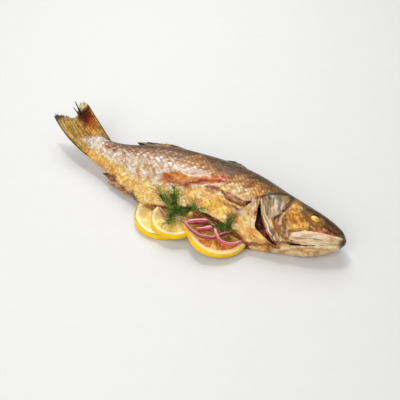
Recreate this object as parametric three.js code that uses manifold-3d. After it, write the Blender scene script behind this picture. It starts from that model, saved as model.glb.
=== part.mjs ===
// A whole roast sea bass, lying on its side with its belly opened.
// The opening is filled with three lemon slices, red onion and dill.
// Sizes are in millimetres. +X runs from the tail to the head, +Y from the belly to the back, +Z is up.
import * as THREE from "three";
import { mergeVertices } from "three/addons/utils/BufferGeometryUtils.js";
import Module from "manifold-3d";

const wasm = await Module();
wasm.setup();

// Driving dimensions of the fish. "Along" is the distance along the fish, "back" the distance towards
// its back from the body's axis, and "out" the distance out of the flank that faces up.
const SNOUT = 160; // along, of the tip of the upper jaw
const LIE_ANGLE = THREE.MathUtils.degToRad(20); // the opened belly lets the flank lean towards the belly
const AXIS_HEIGHT = 17.5; // of the body's axis over the table

// The soft underside lies flat inside this outline on the table's plane, and rises slowly round it.
const UNDERSIDE = {
  outline: [[-18, -28], [97, -28], [93, 10], [-18, 5]],
  rise: 0.015,
  sunk: 1,
};

// The body's outline and thickness, from the snout to the root of the tail.
const BODY = [
  // along, back, belly, half thickness
  [160, -4.5, -8.5, 1.5],
  [157, -0.5, -13.0, 6.5],
  [150, 4.2, -19.0, 10.5],
  [139, 8.8, -26.5, 14.0],
  [127, 12.2, -30.8, 16.5],
  [113, 15.8, -34.0, 18.5],
  [98, 19.8, -37.6, 20.0],
  [80, 25.4, -41.3, 21.2],
  [60, 29.6, -43.2, 22.0],
  [40, 31.6, -43.6, 22.0],
  [15, 31.6, -42.6, 21.4],
  [-10, 30.4, -39.2, 19.6],
  [-30, 27.2, -33.2, 16.6],
  [-50, 21.8, -24.6, 12.4],
  [-68, 17.6, -17.0, 9.0],
  [-82, 17.0, -11.6, 6.2],
  [-92, 19.4, -8.4, 3.6],
  [-99, 21.0, -6.0, 1.6],
];
const SKIN = { rings: 46, sides: 30 };
const LINING = { rings: 20, sides: 20 };
const RING_CROWDING = 1.3; // rings lie closer together towards the snout
const THICKEST = 0.12; // how far the section's thickest place sits towards the back
const SECTION_POWER = 2.15; // 2 is an ellipse, more is fuller

// The belly's opening. Its edges are places on the table's plane: [x, y].
const POCKET = { from: -28, to: 87, deep: 6, top: 27, wall: 4, squareness: 0.55 };
const UNDER_FLAP = { lip: 1.3, slope: 0.08, lipY: -42 };
const FLAP_EDGE = [
  [-30, -41],
  [-14, -38],
  [-2, -37],
  [10, -35.5],
  [22, -33.5],
  [36, -33],
  [50, -34],
  [62, -35.5],
  [74, -37.5],
  [84, -40.5],
  [94, -47],
];

// Places on the head: [along, back].
const COVER_FRONT = [
  [103.5, 11.5],
  [106, 4.5],
  [104.5, -4],
  [103.4, -14],
  [107, -22],
  [113, -28],
];
const COVER_REAR = [
  [86, 5.5],
  [84.5, -3.5],
  [89, -13],
  [95, -22.5],
  [102.5, -28.6],
  [109.5, -31.6],
];
const GILL_SLIT_REAR = [
  [80, -1],
  [82.2, -12],
  [85.8, -25],
  [91, -30.5],
  [98.5, -33],
  [107, -32.8],
];
const GILL_SLIT_DEPTH = { front: 9, rear: 4.5, spared: 3 };
const COVER_RISE = 2.8; // how far the gill cover's free edge stands off the body
const EYE = { at: [131, -1.2], radius: 5, rise: 1.4, rim: 5.9, rimTube: 0.9 };
const MOUTH = [
  [158.5, -10.5],
  [148.5, -16.8],
  [139.5, -21.2],
  [131, -24.6],
  [119.5, -27.4],
];
const MAXILLA_TOP = [
  [157.5, -6.5],
  [148, -9.4],
  [138, -12],
  [129.5, -14.6],
  [119, -20],
];
const MAXILLA_LOW = [
  [157.5, -9.8],
  [148.3, -15.8],
  [139.3, -20.2],
  [130.5, -23.8],
  [117, -25.6],
];
const MAXILLA_RISE = 1.3;

// The fins: [along, back] of each ray's root and tip, from one side of the fin to the other.
const TAIL_ROOTS = [
  [-90, -8],
  [-92, -1],
  [-92, 7],
  [-90, 14],
  [-86, 18.5],
];
const TAIL_TIPS = [
  [-157.5, 25],
  [-151, 27.5],
  [-142, 28.5],
  [-134.5, 30],
  [-137, 37],
  [-141, 44.5],
  [-136, 47.6],
  [-124.5, 45.5],
];
const TAIL_BOW = 4.2; // how far the tail's lower edge bulges out
const SOFT_DORSAL = { from: -3, to: -49, height: 4.6, sweep: 12, thickness: 1.7 };
const SPINY_DORSAL = { from: 68, to: 14, height: 2.6, sweep: 7, thickness: 1.7 };
const TAIL_SPIKE = { roots: [[-121, 34], [-120, 37.5]], tips: [[-143.4, 46], [-142.6, 47]] };
const ANAL_FIN = { from: -26, to: -64, height: 7, sweep: 15, thickness: 1.8 };
const PECTORAL = { root: [75.8, -13.8], tip: [45.5, -9], width: 7, thickness: 2 };

// Lemon slices: the middle of the underside over the table's plane, and how the slice leans.
const SLICE_THICKNESS = 5.6;
const SLICE_SEGMENTS = 10;
const SLICES = [
  { name: "lemon_slice_rear", x: 4, y: -34, z: 2.9, radius: 28.5, leanX: 0, leanY: 0.085, turn: 0.2 },
  { name: "lemon_slice_middle", x: 17.5, y: -39.2, z: 8.4, radius: 22.5, leanX: 0, leanY: 0.085, turn: 0.9 },
  { name: "lemon_slice_front", x: 55.5, y: -35.5, z: 10.6, radius: 28.5, leanX: -0.28, leanY: 0.16, turn: 0.5 },
];
const PRESSED = 0.45; // the gap that the fish keeps round a slice pressed into it

// Red onion: the middle line of each strip, half its width at both ends and in the middle, half its height.
const ONIONS = [
  {
    name: "onion_ring_large",
    line: [
      [23.4, -44.2, 15.6],
      [27.6, -47.4, 18.4],
      [32.2, -50.8, 22],
      [38, -54.2, 20.8],
      [46.8, -55.4, 18],
      [53.3, -53.3, 16.2],
      [59.2, -49.2, 15],
      [63.3, -43, 14.8],
      [68.2, -36.9, 14.6],
    ],
    wide: [0.9, 1.25, 1],
    high: 1.7,
    sides: 8,
    steps: 22,
  },
  {
    name: "onion_ring_small",
    line: [
      [56.6, -43.9, 20],
      [60.2, -48, 19],
      [64.4, -50.3, 15.6],
      [69.2, -49.7, 13],
      [74.8, -46.6, 11.6],
      [78.7, -42, 11.3],
      [80, -39.6, 11.6],
    ],
    wide: [1, 1.3, 1.1],
    high: 1.6,
    sides: 8,
    steps: 18,
  },
  {
    name: "onion_wedge",
    line: [
      [34, -50.4, 22.8],
      [40, -45.2, 21.9],
      [47.9, -39, 20.3],
    ],
    wide: [1.4, 2.6, 2.1],
    high: 2.3,
    sides: 10,
    steps: 9,
  },
  {
    name: "onion_strip",
    line: [
      [42.6, -50.6, 19.2],
      [47.4, -47.4, 18.4],
      [53.4, -42.2, 18.3],
    ],
    wide: [0.8, 1.2, 2.3],
    high: 1.6,
    sides: 8,
    steps: 8,
  },
  {
    name: "onion_petal",
    line: [
      [0.2, -38.8, 16],
      [5.4, -42.8, 16.2],
      [11.2, -46.6, 15.9],
    ],
    wide: [0.9, 1.7, 1],
    high: 1.3,
    sides: 8,
    steps: 8,
  },
];

// Dill: each stem's middle line. Threads grow off it on all sides.
const DILLS = [
  {
    name: "dill_large",
    seed: 41,
    reach: 8.5,
    each: 1.7,
    stems: [
      [
        [23.5, -40.5, 18.4],
        [14, -39.5, 19.6],
        [6, -37, 22.5],
        [-1, -34.5, 25],
      ],
      [
        [15.5, -39.8, 19.4],
        [26, -37, 22],
        [37, -34, 26],
      ],
      [
        [18, -40.5, 19],
        [16.5, -48, 18.2],
        [18.5, -55, 17.6],
      ],
      [
        [12, -39, 20],
        [12, -35, 26],
        [10.5, -29, 31.5],
      ],
    ],
  },
  {
    name: "dill_small",
    seed: 57,
    reach: 7.5,
    each: 1.4,
    stems: [
      [
        [55, -42, 20.5],
        [62.5, -39.5, 19.4],
        [70, -37.6, 18.4],
      ],
      [
        [62.5, -39.5, 19.4],
        [65.5, -37.5, 23],
        [67, -34.5, 27.5],
      ],
    ],
  },
];
const THREAD = { thick: 0.42, tip: 0.22, stem: 0.6, clear: 0.35 };

// Colours as they show on the cooked food.
const COLOURS = {
  fish: 0xb98a4a,
  lemon: 0xe9c53a,
  onion: 0xb23a5e,
  dill: 0x2f5a22,
};

// A smooth curve y(x) through a few points, by cubic pieces with parabolic slopes.
function smooth(points) {
  const p = [...points].sort((a, b) => a[0] - b[0]);
  const secant = p.slice(1).map((q, i) => (q[1] - p[i][1]) / (q[0] - p[i][0]));
  const slope = p.map((q, i) => {
    if (i === 0) return secant[0];
    if (i === p.length - 1) return secant[i - 1];
    const before = q[0] - p[i - 1][0];
    const after = p[i + 1][0] - q[0];
    return (secant[i - 1] * after + secant[i] * before) / (before + after);
  });
  return (x) => {
    const c = Math.min(Math.max(x, p[0][0]), p[p.length - 1][0]);
    let i = 0;
    while (i < p.length - 2 && c > p[i + 1][0]) i += 1;
    const h = p[i + 1][0] - p[i][0];
    const t = (c - p[i][0]) / h;
    const a = p[i][1];
    const b = p[i + 1][1];
    return (
      a * (1 + 2 * t) * (1 - t) ** 2 +
      h * slope[i] * t * (1 - t) ** 2 +
      b * t * t * (3 - 2 * t) +
      h * slope[i + 1] * t * t * (t - 1)
    );
  };
}

const backLine = smooth(BODY.map((s) => [s[0], s[1]]));
const bellyLine = smooth(BODY.map((s) => [s[0], s[2]]));
const halfThickness = smooth(BODY.map((s) => [s[0], s[3]]));

// A seeded random draw between 0 and 1.
function seeded(seed) {
  let s = seed;
  return () => {
    s = (s * 1664525 + 1013904223) % 4294967296;
    return s / 4294967296;
  };
}

// From the fish's own directions to the table's.
function lying(along, back, out) {
  const c = Math.cos(LIE_ANGLE);
  const s = Math.sin(LIE_ANGLE);
  return new THREE.Vector3(along, back * c - out * s, AXIS_HEIGHT + back * s + out * c);
}

// The part of the half thickness that the section has at a share of the way from its middle to its rim.
function fullness(share) {
  const clamped = Math.min(Math.abs(share), 1);
  return (1 - clamped ** SECTION_POWER) ** (1 / SECTION_POWER) * (1 + THICKEST * share);
}

// How far out the upper flank's skin lies.
function flank(along, back) {
  const top = backLine(along);
  const low = bellyLine(along);
  const share = (back - (top + low) / 2) / ((top - low) / 2);
  return halfThickness(along) * fullness(share);
}

// The gentle unevenness of cooked skin, and the patch where it tore.
const TORN = { along: 20, back: -4, long: 27, wide: 6.5, depth: 0.9, slant: 0.22 };
function skinRelief(along, back) {
  const waves =
    0.28 * Math.sin(along * 0.33 + 0.12 * back) * Math.sin(back * 0.29 + 1) +
    0.2 * Math.sin(along * 0.71 - back * 0.37);
  const dx = (along - TORN.along) / TORN.long;
  const dy = (back - TORN.back - TORN.slant * (along - TORN.along)) / TORN.wide;
  const torn = Math.max(0, 1 - dx * dx - dy * dy);
  const calm = THREE.MathUtils.smoothstep(120 - along, 0, 40);
  return waves * calm - TORN.depth * Math.min(1, torn * 2.5);
}

// A closed skin over rings of points, with a fan over each end.
function loft(rings, closed = false) {
  const sides = rings[0].length;
  const positions = [];
  const index = [];
  for (const ring of rings) for (const p of ring) positions.push(p.x, p.y, p.z);
  const at = (r, s) => (r % rings.length) * sides + (s % sides);
  const spans = closed ? rings.length : rings.length - 1;
  for (let r = 0; r < spans; r += 1) {
    for (let s = 0; s < sides; s += 1) {
      index.push(at(r, s), at(r + 1, s), at(r + 1, s + 1));
      index.push(at(r, s), at(r + 1, s + 1), at(r, s + 1));
    }
  }
  if (!closed) {
    for (const r of [0, rings.length - 1]) {
      const middle = new THREE.Vector3();
      for (const p of rings[r]) middle.addScaledVector(p, 1 / sides);
      const tip = positions.length / 3;
      positions.push(middle.x, middle.y, middle.z);
      for (let s = 0; s < sides; s += 1) {
        if (r === 0) index.push(tip, at(r, s), at(r, s + 1));
        else index.push(tip, at(r, s + 1), at(r, s));
      }
    }
  }
  const geometry = new THREE.BufferGeometry();
  geometry.setAttribute("position", new THREE.Float32BufferAttribute(positions, 3));
  geometry.setIndex(index);
  return geometry;
}

// A closed three.js geometry as a solid that can be cut and joined, its faces turned outwards.
function solid(geometry) {
  const bare = geometry.clone();
  for (const name of Object.keys(bare.attributes)) {
    if (name !== "position") bare.deleteAttribute(name);
  }
  const merged = mergeVertices(bare, 1e-3);
  const corners = merged.index.array;
  const kept = [];
  for (let i = 0; i < corners.length; i += 3) {
    const [a, b, c] = [corners[i], corners[i + 1], corners[i + 2]];
    if (a !== b && b !== c && a !== c) kept.push(a, b, c);
  }
  const build = (triangles) =>
    new wasm.Manifold(
      new wasm.Mesh({
        numProp: 3,
        vertProperties: new Float32Array(merged.attributes.position.array),
        triVerts: new Uint32Array(triangles),
      }),
    );
  const made = build(kept);
  if (made.volume() >= 0) return made;
  for (let i = 0; i < kept.length; i += 3) [kept[i + 1], kept[i + 2]] = [kept[i + 2], kept[i + 1]];
  return build(kept);
}

// The largest piece of a solid, without the scraps that a cut can leave.
function whole(cut) {
  return cut.decompose().reduce((a, b) => (b.volume() > a.volume() ? b : a));
}

function mesh(name, made, colour, roughness) {
  const { numProp, vertProperties, triVerts } = made.getMesh();
  const count = vertProperties.length / numProp;
  const position = new Float32Array(count * 3);
  for (let i = 0; i < count; i += 1) {
    position.set(vertProperties.subarray(i * numProp, i * numProp + 3), i * 3);
  }
  const geometry = new THREE.BufferGeometry();
  geometry.setAttribute("position", new THREE.BufferAttribute(position, 3));
  geometry.setIndex(new THREE.BufferAttribute(new Uint32Array(triVerts), 1));
  geometry.computeVertexNormals();
  const material = new THREE.MeshStandardMaterial({ color: colour, roughness, metalness: 0 });
  const piece = new THREE.Mesh(geometry, material);
  piece.name = name;
  return piece;
}

// A thin closed sheet: place(u, v) gives its middle, rise its outward direction, thickness its depth.
function sheet(across, down, place, rise, thickness) {
  const rings = [];
  for (let j = 0; j <= down; j += 1) {
    const ring = [];
    for (let i = 0; i <= across; i += 1) {
      const half = thickness(i / across, j / down) / 2;
      ring.push(place(i / across, j / down).addScaledVector(rise, half));
    }
    for (let i = across; i >= 0; i -= 1) {
      const half = thickness(i / across, j / down) / 2;
      ring.push(place(i / across, j / down).addScaledVector(rise, -half));
    }
    rings.push(ring);
  }
  return loftFlat(rings);
}

// As loft, for rings that are flat loops of two equal rows, whose ends are closed by a strip.
function loftFlat(rings) {
  const sides = rings[0].length;
  const row = sides / 2;
  const positions = [];
  const index = [];
  for (const ring of rings) for (const p of ring) positions.push(p.x, p.y, p.z);
  const at = (r, s) => r * sides + (s % sides);
  for (let r = 0; r < rings.length - 1; r += 1) {
    for (let s = 0; s < sides; s += 1) {
      index.push(at(r, s), at(r + 1, s), at(r + 1, s + 1));
      index.push(at(r, s), at(r + 1, s + 1), at(r, s + 1));
    }
  }
  for (let i = 0; i < row - 1; i += 1) {
    const other = sides - 1 - i;
    const last = rings.length - 1;
    index.push(at(0, i), at(0, i + 1), at(0, other), at(0, i + 1), at(0, other - 1), at(0, other));
    index.push(at(last, i), at(last, other), at(last, i + 1));
    index.push(at(last, i + 1), at(last, other), at(last, other - 1));
  }
  const geometry = new THREE.BufferGeometry();
  geometry.setAttribute("position", new THREE.Float32BufferAttribute(positions, 3));
  geometry.setIndex(index);
  return geometry;
}

// The outward direction of the upper flank.
const OUT = lying(0, 0, 1).sub(lying(0, 0, 0));

// The body's solid, moved in by an inset, and flattened where its underside meets a floor.
function body(inset, floorAt, grid) {
  const rings = [];
  for (let r = 0; r <= grid.rings; r += 1) {
    const share = (r / grid.rings) ** RING_CROWDING;
    const along = SNOUT - share * (SNOUT - BODY[BODY.length - 1][0]);
    const top = backLine(along) - inset;
    const low = bellyLine(along) + inset;
    const half = Math.max(halfThickness(along) - inset, 0.3);
    const middle = (top + low) / 2;
    const reach = Math.max((top - low) / 2, 0.5);
    const ring = [];
    for (let s = 0; s < grid.sides; s += 1) {
      const angle = (2 * Math.PI * s) / grid.sides;
      const towards = Math.cos(angle);
      const back = middle + reach * towards;
      const side = Math.sign(Math.round(Math.sin(angle) * 1e6));
      const relief = inset ? 0 : skinRelief(along, back) * Math.sin(angle) ** 2;
      const out = side * (half * fullness(towards) + relief);
      const p = lying(along, back, out);
      p.z = Math.max(p.z, floorAt(p.y));
      ring.push(p);
    }
    rings.push(ring);
  }
  return solid(loft(rings));
}

// A prism over an outline on the table's plane.
function prism(outline, from, to) {
  const shape = new THREE.Shape(outline.map(([x, y]) => new THREE.Vector2(x, y)));
  const geometry = new THREE.ExtrudeGeometry(shape, { depth: to - from, bevelEnabled: false, steps: 1 });
  geometry.translate(0, 0, from);
  return solid(geometry);
}

// The hollow of the gutted belly, and the cut that opens it along the flap's edge.
function bellyOpening() {
  const floorAt = (y) => UNDER_FLAP.lip + UNDER_FLAP.slope * (y - UNDER_FLAP.lipY);
  const middle = (POCKET.from + POCKET.to) / 2;
  const reach = (POCKET.to - POCKET.from) / 2;
  const outline = [
    [POCKET.from, -70],
    [POCKET.to, -70],
  ];
  const steps = 16;
  for (let i = 0; i <= steps; i += 1) {
    const angle = (Math.PI * i) / steps;
    const x = middle + reach * Math.cos(angle);
    outline.push([x, -42 + (POCKET.deep + 42) * Math.sin(angle) ** POCKET.squareness]);
  }
  const hollow = body(POCKET.wall, floorAt, LINING).intersect(prism(outline, -5, POCKET.top));
  const edge = smooth(FLAP_EDGE);
  const cut = [];
  for (let x = -27; x <= 90; x += 3) cut.push([x, edge(x)]);
  cut.push([90, -70], [-27, -70]);
  return hollow.add(prism(cut, 1.7, 60));
}

// A solid of a thin outline on the flank: a band between two curves of places, from one depth to another.
function band(first, second, steps, lowOut, highOut, side) {
  const curve = (points) => new THREE.SplineCurve(points.map(([a, b]) => new THREE.Vector2(a, b)));
  const one = curve(first);
  const two = curve(second);
  const rings = [];
  for (let i = 0; i <= steps; i += 1) {
    const a = one.getPoint(i / steps);
    const b = two.getPoint(i / steps);
    rings.push([
      lying(a.x, a.y, side * highOut(a.x, a.y, 0)),
      lying(b.x, b.y, side * highOut(b.x, b.y, 1)),
      lying(b.x, b.y, side * lowOut(b.x, b.y, 1)),
      lying(a.x, a.y, side * lowOut(a.x, a.y, 0)),
    ]);
  }
  return solid(loftFlat(rings));
}

// A plate that follows the flank between two curves, free along the second one.
function plate(first, second, across, down, rise, thickness, side) {
  const curve = (points) => new THREE.SplineCurve(points.map(([a, b]) => new THREE.Vector2(a, b)));
  const one = curve(first);
  const two = curve(second);
  const place = (u, v) => {
    const a = one.getPoint(v);
    const b = two.getPoint(v);
    const along = a.x + (b.x - a.x) * u;
    const back = a.y + (b.y - a.y) * u;
    return lying(along, back, side * (flank(along, back) + rise(u, v)));
  };
  return solid(sheet(across, down, place, OUT, () => thickness));
}

function gillCover(side) {
  const rise = (u) => -1.1 + (COVER_RISE + 0.4) * u ** 0.8;
  return plate(COVER_FRONT, COVER_REAR, 5, 10, rise, 1.7, side);
}

function gillSlit(side) {
  const deep = (along, back, rear) => {
    const depth = rear ? GILL_SLIT_DEPTH.rear : GILL_SLIT_DEPTH.front;
    return Math.max(flank(along, back) - depth, GILL_SLIT_DEPTH.spared);
  };
  return band(COVER_REAR.slice(1), GILL_SLIT_REAR, 10, deep, () => 34, side);
}

function upperJaw(side) {
  const rise = (u, v) => -0.5 + MAXILLA_RISE * Math.sin(Math.PI * (0.15 + 0.7 * u)) * (0.45 + 0.55 * v);
  return plate(MAXILLA_TOP, MAXILLA_LOW, 3, 7, rise, 1.6, side);
}

function mouthLine(side) {
  const lower = MOUTH.map(([a, b]) => [a - 0.3, b - 1.1]);
  const deep = (along, back) => Math.max(flank(along, back) - 4, 1);
  return band(MOUTH, lower, 8, deep, () => 30, side);
}

function eye(side) {
  const [along, back] = EYE.at;
  const out = flank(along, back);
  const ball = new THREE.SphereGeometry(1, 12, 8);
  ball.scale(EYE.radius, EYE.radius * 0.72, EYE.rise + 2);
  const rim = new THREE.TorusGeometry(EYE.rim, EYE.rimTube, 5, 16);
  rim.scale(1, 0.8, 1);
  const turn = (geometry, depth) => {
    geometry.rotateX(LIE_ANGLE + (side < 0 ? Math.PI : 0));
    geometry.rotateY(side * 0.2);
    const at = lying(along, back, side * depth);
    geometry.translate(at.x, at.y, at.z);
    return solid(geometry);
  };
  return turn(ball, out - 2).add(turn(rim, out - 0.6));
}

// A fin: rays from roots to tips, corrugated, thinning to its ragged edge.
function fin(roots, tips, rays, steps, thickness, wave, seed, bow = 0) {
  const draw = seeded(seed);
  const curve = (points) => new THREE.SplineCurve(points.map(([a, b]) => new THREE.Vector2(a, b)));
  const root = curve(roots);
  const tip = curve(tips);
  const reaches = Array.from({ length: rays + 1 }, () => 1 - 0.07 * draw());
  const place = (u, v) => {
    const ray = Math.round(v * rays);
    const a = root.getPoint(v);
    const b = tip.getPoint(v);
    const share = u * reaches[ray];
    const corrugation = 0.35 * (ray % 2 ? 1 : -1) * u;
    const bulge = bow * 4 * share * (1 - share) * (1 - v) ** 2;
    const along = a.x + (b.x - a.x) * share - bulge * 0.45;
    const back = a.y + (b.y - a.y) * share - bulge * 0.9;
    return lying(along, back, wave(u, v) + corrugation);
  };
  return solid(sheet(steps, rays, place, OUT, (u) => thickness * (1 - 0.45 * u)));
}

function tailFin() {
  const wave = (u, v) => 1.6 * u * Math.sin(5 * v + 0.6) + 1.5 * u * u;
  const spikeWave = (u) => 1.4 - 0.3 * u;
  const blade = fin(TAIL_ROOTS, TAIL_TIPS, 26, 5, 2.4, wave, 11, TAIL_BOW);
  return blade.add(fin(TAIL_SPIKE.roots, TAIL_SPIKE.tips, 2, 3, 1.6, spikeWave, 3));
}

// A low fin folded back along the ridge, its rear tip free.
function foldedFin(dims, line, way, rays, outAt, seed) {
  const roots = [];
  const tips = [];
  const count = 8;
  for (let i = 0; i <= count; i += 1) {
    const share = i / count;
    const along = dims.from + (dims.to - dims.from) * share;
    const height = dims.height * (0.25 + 0.75 * Math.sin(Math.PI * (0.12 + 0.72 * share)));
    roots.push([along, line(along) - way * 2.2]);
    tips.push([along - dims.sweep * (0.3 + 0.5 * share), line(along - dims.sweep * 0.35) + way * height]);
  }
  return fin(roots, tips, rays, 3, dims.thickness, (u, v) => outAt(u, v), seed);
}

function pectoralFin() {
  const [rootAlong, rootBack] = PECTORAL.root;
  const [tipAlong, tipBack] = PECTORAL.tip;
  const place = (u, v) => {
    const spread = Math.sin(Math.PI * (0.12 + 0.8 * v)) * PECTORAL.width * (u - 0.5);
    const along = rootAlong + (tipAlong - rootAlong) * v;
    const back = rootBack + (tipBack - rootBack) * v + spread + 0.4 * Math.sin(Math.PI * v);
    const fold = 0.9 * Math.sin(3 * Math.PI * u) * v;
    return lying(along, back, flank(along, back) + 0.2 + 1.7 * Math.sin(Math.PI * v * 0.75) + fold);
  };
  return solid(sheet(6, 7, place, OUT, () => PECTORAL.thickness));
}

function fish() {
  let made = body(0, () => -UNDERSIDE.sunk, SKIN);
  for (const side of [1, -1]) made = made.subtract(gillSlit(side));
  for (const side of [1, -1]) made = made.add(gillCover(side)).add(upperJaw(side));
  for (const side of [1, -1]) made = made.subtract(mouthLine(side)).add(eye(side));
  const standing = (u) => 1.5 * u;
  const drooping = (u, v) => -3.2 * u + 0.8 * Math.sin(7 * v);
  made = made
    .add(tailFin())
    .add(foldedFin(SOFT_DORSAL, backLine, 1, 14, standing, 23))
    .add(foldedFin(SPINY_DORSAL, backLine, 1, 12, standing, 29))
    .add(foldedFin(ANAL_FIN, bellyLine, -1, 12, drooping, 31))
    .add(pectoralFin());
  made = made.subtract(bellyOpening());
  for (const dims of SLICES) made = made.subtract(pressedDisc(dims));
  return whole(made.intersect(mould()));
}

// The space over the table that the fish may fill: flat under it, and rising slowly away from there.
function mould() {
  const reach = 400;
  const corners = UNDERSIDE.outline.map(([x, y]) => new THREE.Vector2(x, y));
  const outer = corners.map((corner, i) => {
    const before = corners[(i + corners.length - 1) % corners.length];
    const after = corners[(i + 1) % corners.length];
    const one = corner.clone().sub(before).normalize();
    const two = after.clone().sub(corner).normalize();
    const out = new THREE.Vector2(one.y + two.y, -one.x - two.x);
    const share = out.dot(new THREE.Vector2(one.y, -one.x));
    return corner.clone().addScaledVector(out, reach / share);
  });
  const ring = (points, z) => points.map((p) => new THREE.Vector3(p.x, p.y, z));
  return solid(loft([ring(corners, 0), ring(outer, reach * UNDERSIDE.rise), ring(outer, 90)]));
}

// A lemon slice: rounded peel, a low pith ring, and flesh in segments between raised membranes.
function lemonSlice(dims) {
  const spokes = SLICE_SEGMENTS * 3;
  const half = SLICE_THICKNESS / 2;
  const faceShares = [0.12, 0.45, 0.8, 0.9];
  const rings = [];
  const ring = (radius, height, membrane) => {
    const points = [];
    for (let i = 0; i < spokes; i += 1) {
      const angle = (2 * Math.PI * i) / spokes;
      const raised = i % 3 === 0 ? membrane : 0;
      const uneven = 1 + 0.012 * Math.sin(2 * angle + dims.turn) + 0.008 * Math.sin(5 * angle);
      const z = height > 0 ? height + raised : height - raised;
      points.push(new THREE.Vector3(radius * uneven * Math.cos(angle), radius * uneven * Math.sin(angle), z));
    }
    rings.push(points);
  };
  for (const share of faceShares) ring(dims.radius * share, half - 0.5, share < 0.85 ? 0.4 : 0.2);
  ring(dims.radius * 0.955, half, 0);
  ring(dims.radius, half * 0.45, 0);
  ring(dims.radius, -half * 0.45, 0);
  ring(dims.radius * 0.955, -half, 0);
  for (const share of [...faceShares].reverse()) ring(dims.radius * share, -half + 0.5, share < 0.85 ? 0.4 : 0.2);
  const geometry = loft(rings);
  geometry.rotateZ(dims.turn);
  return solid(leaning(geometry, dims, half));
}

// Sets a piece down on a leaning plane: its underside's middle is at x, y, z.
function leaning(geometry, dims, lift) {
  const up = new THREE.Vector3(-dims.leanX, -dims.leanY, 1).normalize();
  geometry.applyQuaternion(new THREE.Quaternion().setFromUnitVectors(new THREE.Vector3(0, 0, 1), up));
  geometry.translate(dims.x + up.x * lift, dims.y + up.y * lift, dims.z + up.z * lift);
  return geometry;
}

// A plain disc with the slice's place, bigger all round by the gap.
function pressedDisc(dims) {
  const disc = new THREE.CylinderGeometry(dims.radius * 1.02 + PRESSED, dims.radius * 1.02 + PRESSED,
    SLICE_THICKNESS + 2 * PRESSED, 36);
  disc.rotateX(Math.PI / 2);
  return solid(leaning(disc, dims, SLICE_THICKNESS / 2));
}

// A strip along a smooth line, its section an upright oval that tapers towards rounded ends.
function strip(dims) {
  const line = new THREE.CatmullRomCurve3(dims.line.map((p) => new THREE.Vector3(...p)));
  const up = new THREE.Vector3(0, 0, 1);
  const rings = [];
  for (let i = 0; i <= dims.steps; i += 1) {
    const share = i / dims.steps;
    const end = Math.min(1, Math.sqrt(Math.min(share, 1 - share) * 10 + 0.12));
    const wide = dims.wide[0] * (1 - share) ** 2 + 2 * dims.wide[1] * share * (1 - share) + dims.wide[2] * share ** 2;
    const middle = line.getPointAt(share);
    const across = new THREE.Vector3().crossVectors(up, line.getTangentAt(share)).normalize();
    const ring = [];
    for (let k = 0; k < dims.sides; k += 1) {
      const angle = (2 * Math.PI * k) / dims.sides;
      ring.push(
        middle
          .clone()
          .addScaledVector(across, wide * end * Math.cos(angle))
          .addScaledVector(up, dims.high * end * Math.sin(angle)),
      );
    }
    rings.push(ring);
  }
  return solid(loft(rings));
}

// A straight tapered thread between two points.
function thread(from, to, thick, tip) {
  const way = to.clone().sub(from);
  const across = new THREE.Vector3(0.31, 0.17, 0.93).cross(way).normalize();
  const other = way.clone().normalize().cross(across);
  const ring = (at, size) =>
    [0, 1, 2].map((k) => {
      const angle = (2 * Math.PI * k) / 3;
      return at
        .clone()
        .addScaledVector(across, size * Math.cos(angle))
        .addScaledVector(other, size * Math.sin(angle));
    });
  return solid(loft([ring(from, thick), ring(to, tip)]));
}

// A dill sprig: stems with threads off them, left out where they would meet a neighbour.
function sprig(dims, neighbours) {
  const draw = seeded(dims.seed);
  const near = neighbours.reduce((a, b) => a.add(b));
  const kept = [];
  for (const points of dims.stems) {
    const line = new THREE.CatmullRomCurve3(points.map((p) => new THREE.Vector3(...p)));
    const spans = Math.round(line.getLength() / 4);
    const at = line.getSpacedPoints(spans);
    for (let i = 0; i < spans; i += 1) kept.push(thread(at[i], at[i + 1], THREAD.stem, THREAD.stem));
    const count = Math.round(line.getLength() / dims.each);
    for (let i = 1; i <= count; i += 1) {
      const share = i / count;
      const from = line.getPointAt(share);
      const along = line.getTangentAt(share);
      const angle = 2.4 * i + draw();
      const side = new THREE.Vector3(0, 0, 1).cross(along).normalize();
      const over = along.clone().cross(side).negate();
      const reach = dims.reach * (0.65 + 0.35 * draw()) * (1.15 - 0.45 * share);
      const way = along.clone().multiplyScalar(0.9);
      way.addScaledVector(side, Math.cos(angle)).addScaledVector(over, -0.6 * Math.sin(angle));
      const to = from.clone().addScaledVector(way.normalize(), reach);
      const wide = thread(from, to, THREAD.thick + THREAD.clear, THREAD.tip + THREAD.clear);
      if (wide.intersect(near).isEmpty()) kept.push(thread(from, to, THREAD.thick, THREAD.tip));
    }
  }
  return whole(kept.reduce((a, b) => a.add(b)));
}

const bass = fish();
const slices = SLICES.map((dims) => lemonSlice(dims));
const onions = ONIONS.map((dims) => strip(dims));
const dills = DILLS.map((dims) => sprig(dims, [bass, ...slices, ...onions]));

const group = new THREE.Group();
group.add(mesh("fish", bass, COLOURS.fish, 0.4));
SLICES.forEach((dims, i) => group.add(mesh(dims.name, slices[i], COLOURS.lemon, 0.35)));
ONIONS.forEach((dims, i) => group.add(mesh(dims.name, onions[i], COLOURS.onion, 0.25)));
DILLS.forEach((dims, i) => group.add(mesh(dims.name, dills[i], COLOURS.dill, 0.6)));

// The middle of the whole thing's footprint goes to the origin.
const box = new THREE.Box3().setFromObject(group);
group.position.set(-(box.min.x + box.max.x) / 2, -(box.min.y + box.max.y) / 2, 0);

export default group;
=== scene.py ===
import math

import bmesh
import bpy
import numpy as np
from mathutils import Matrix, Vector, noise

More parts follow.
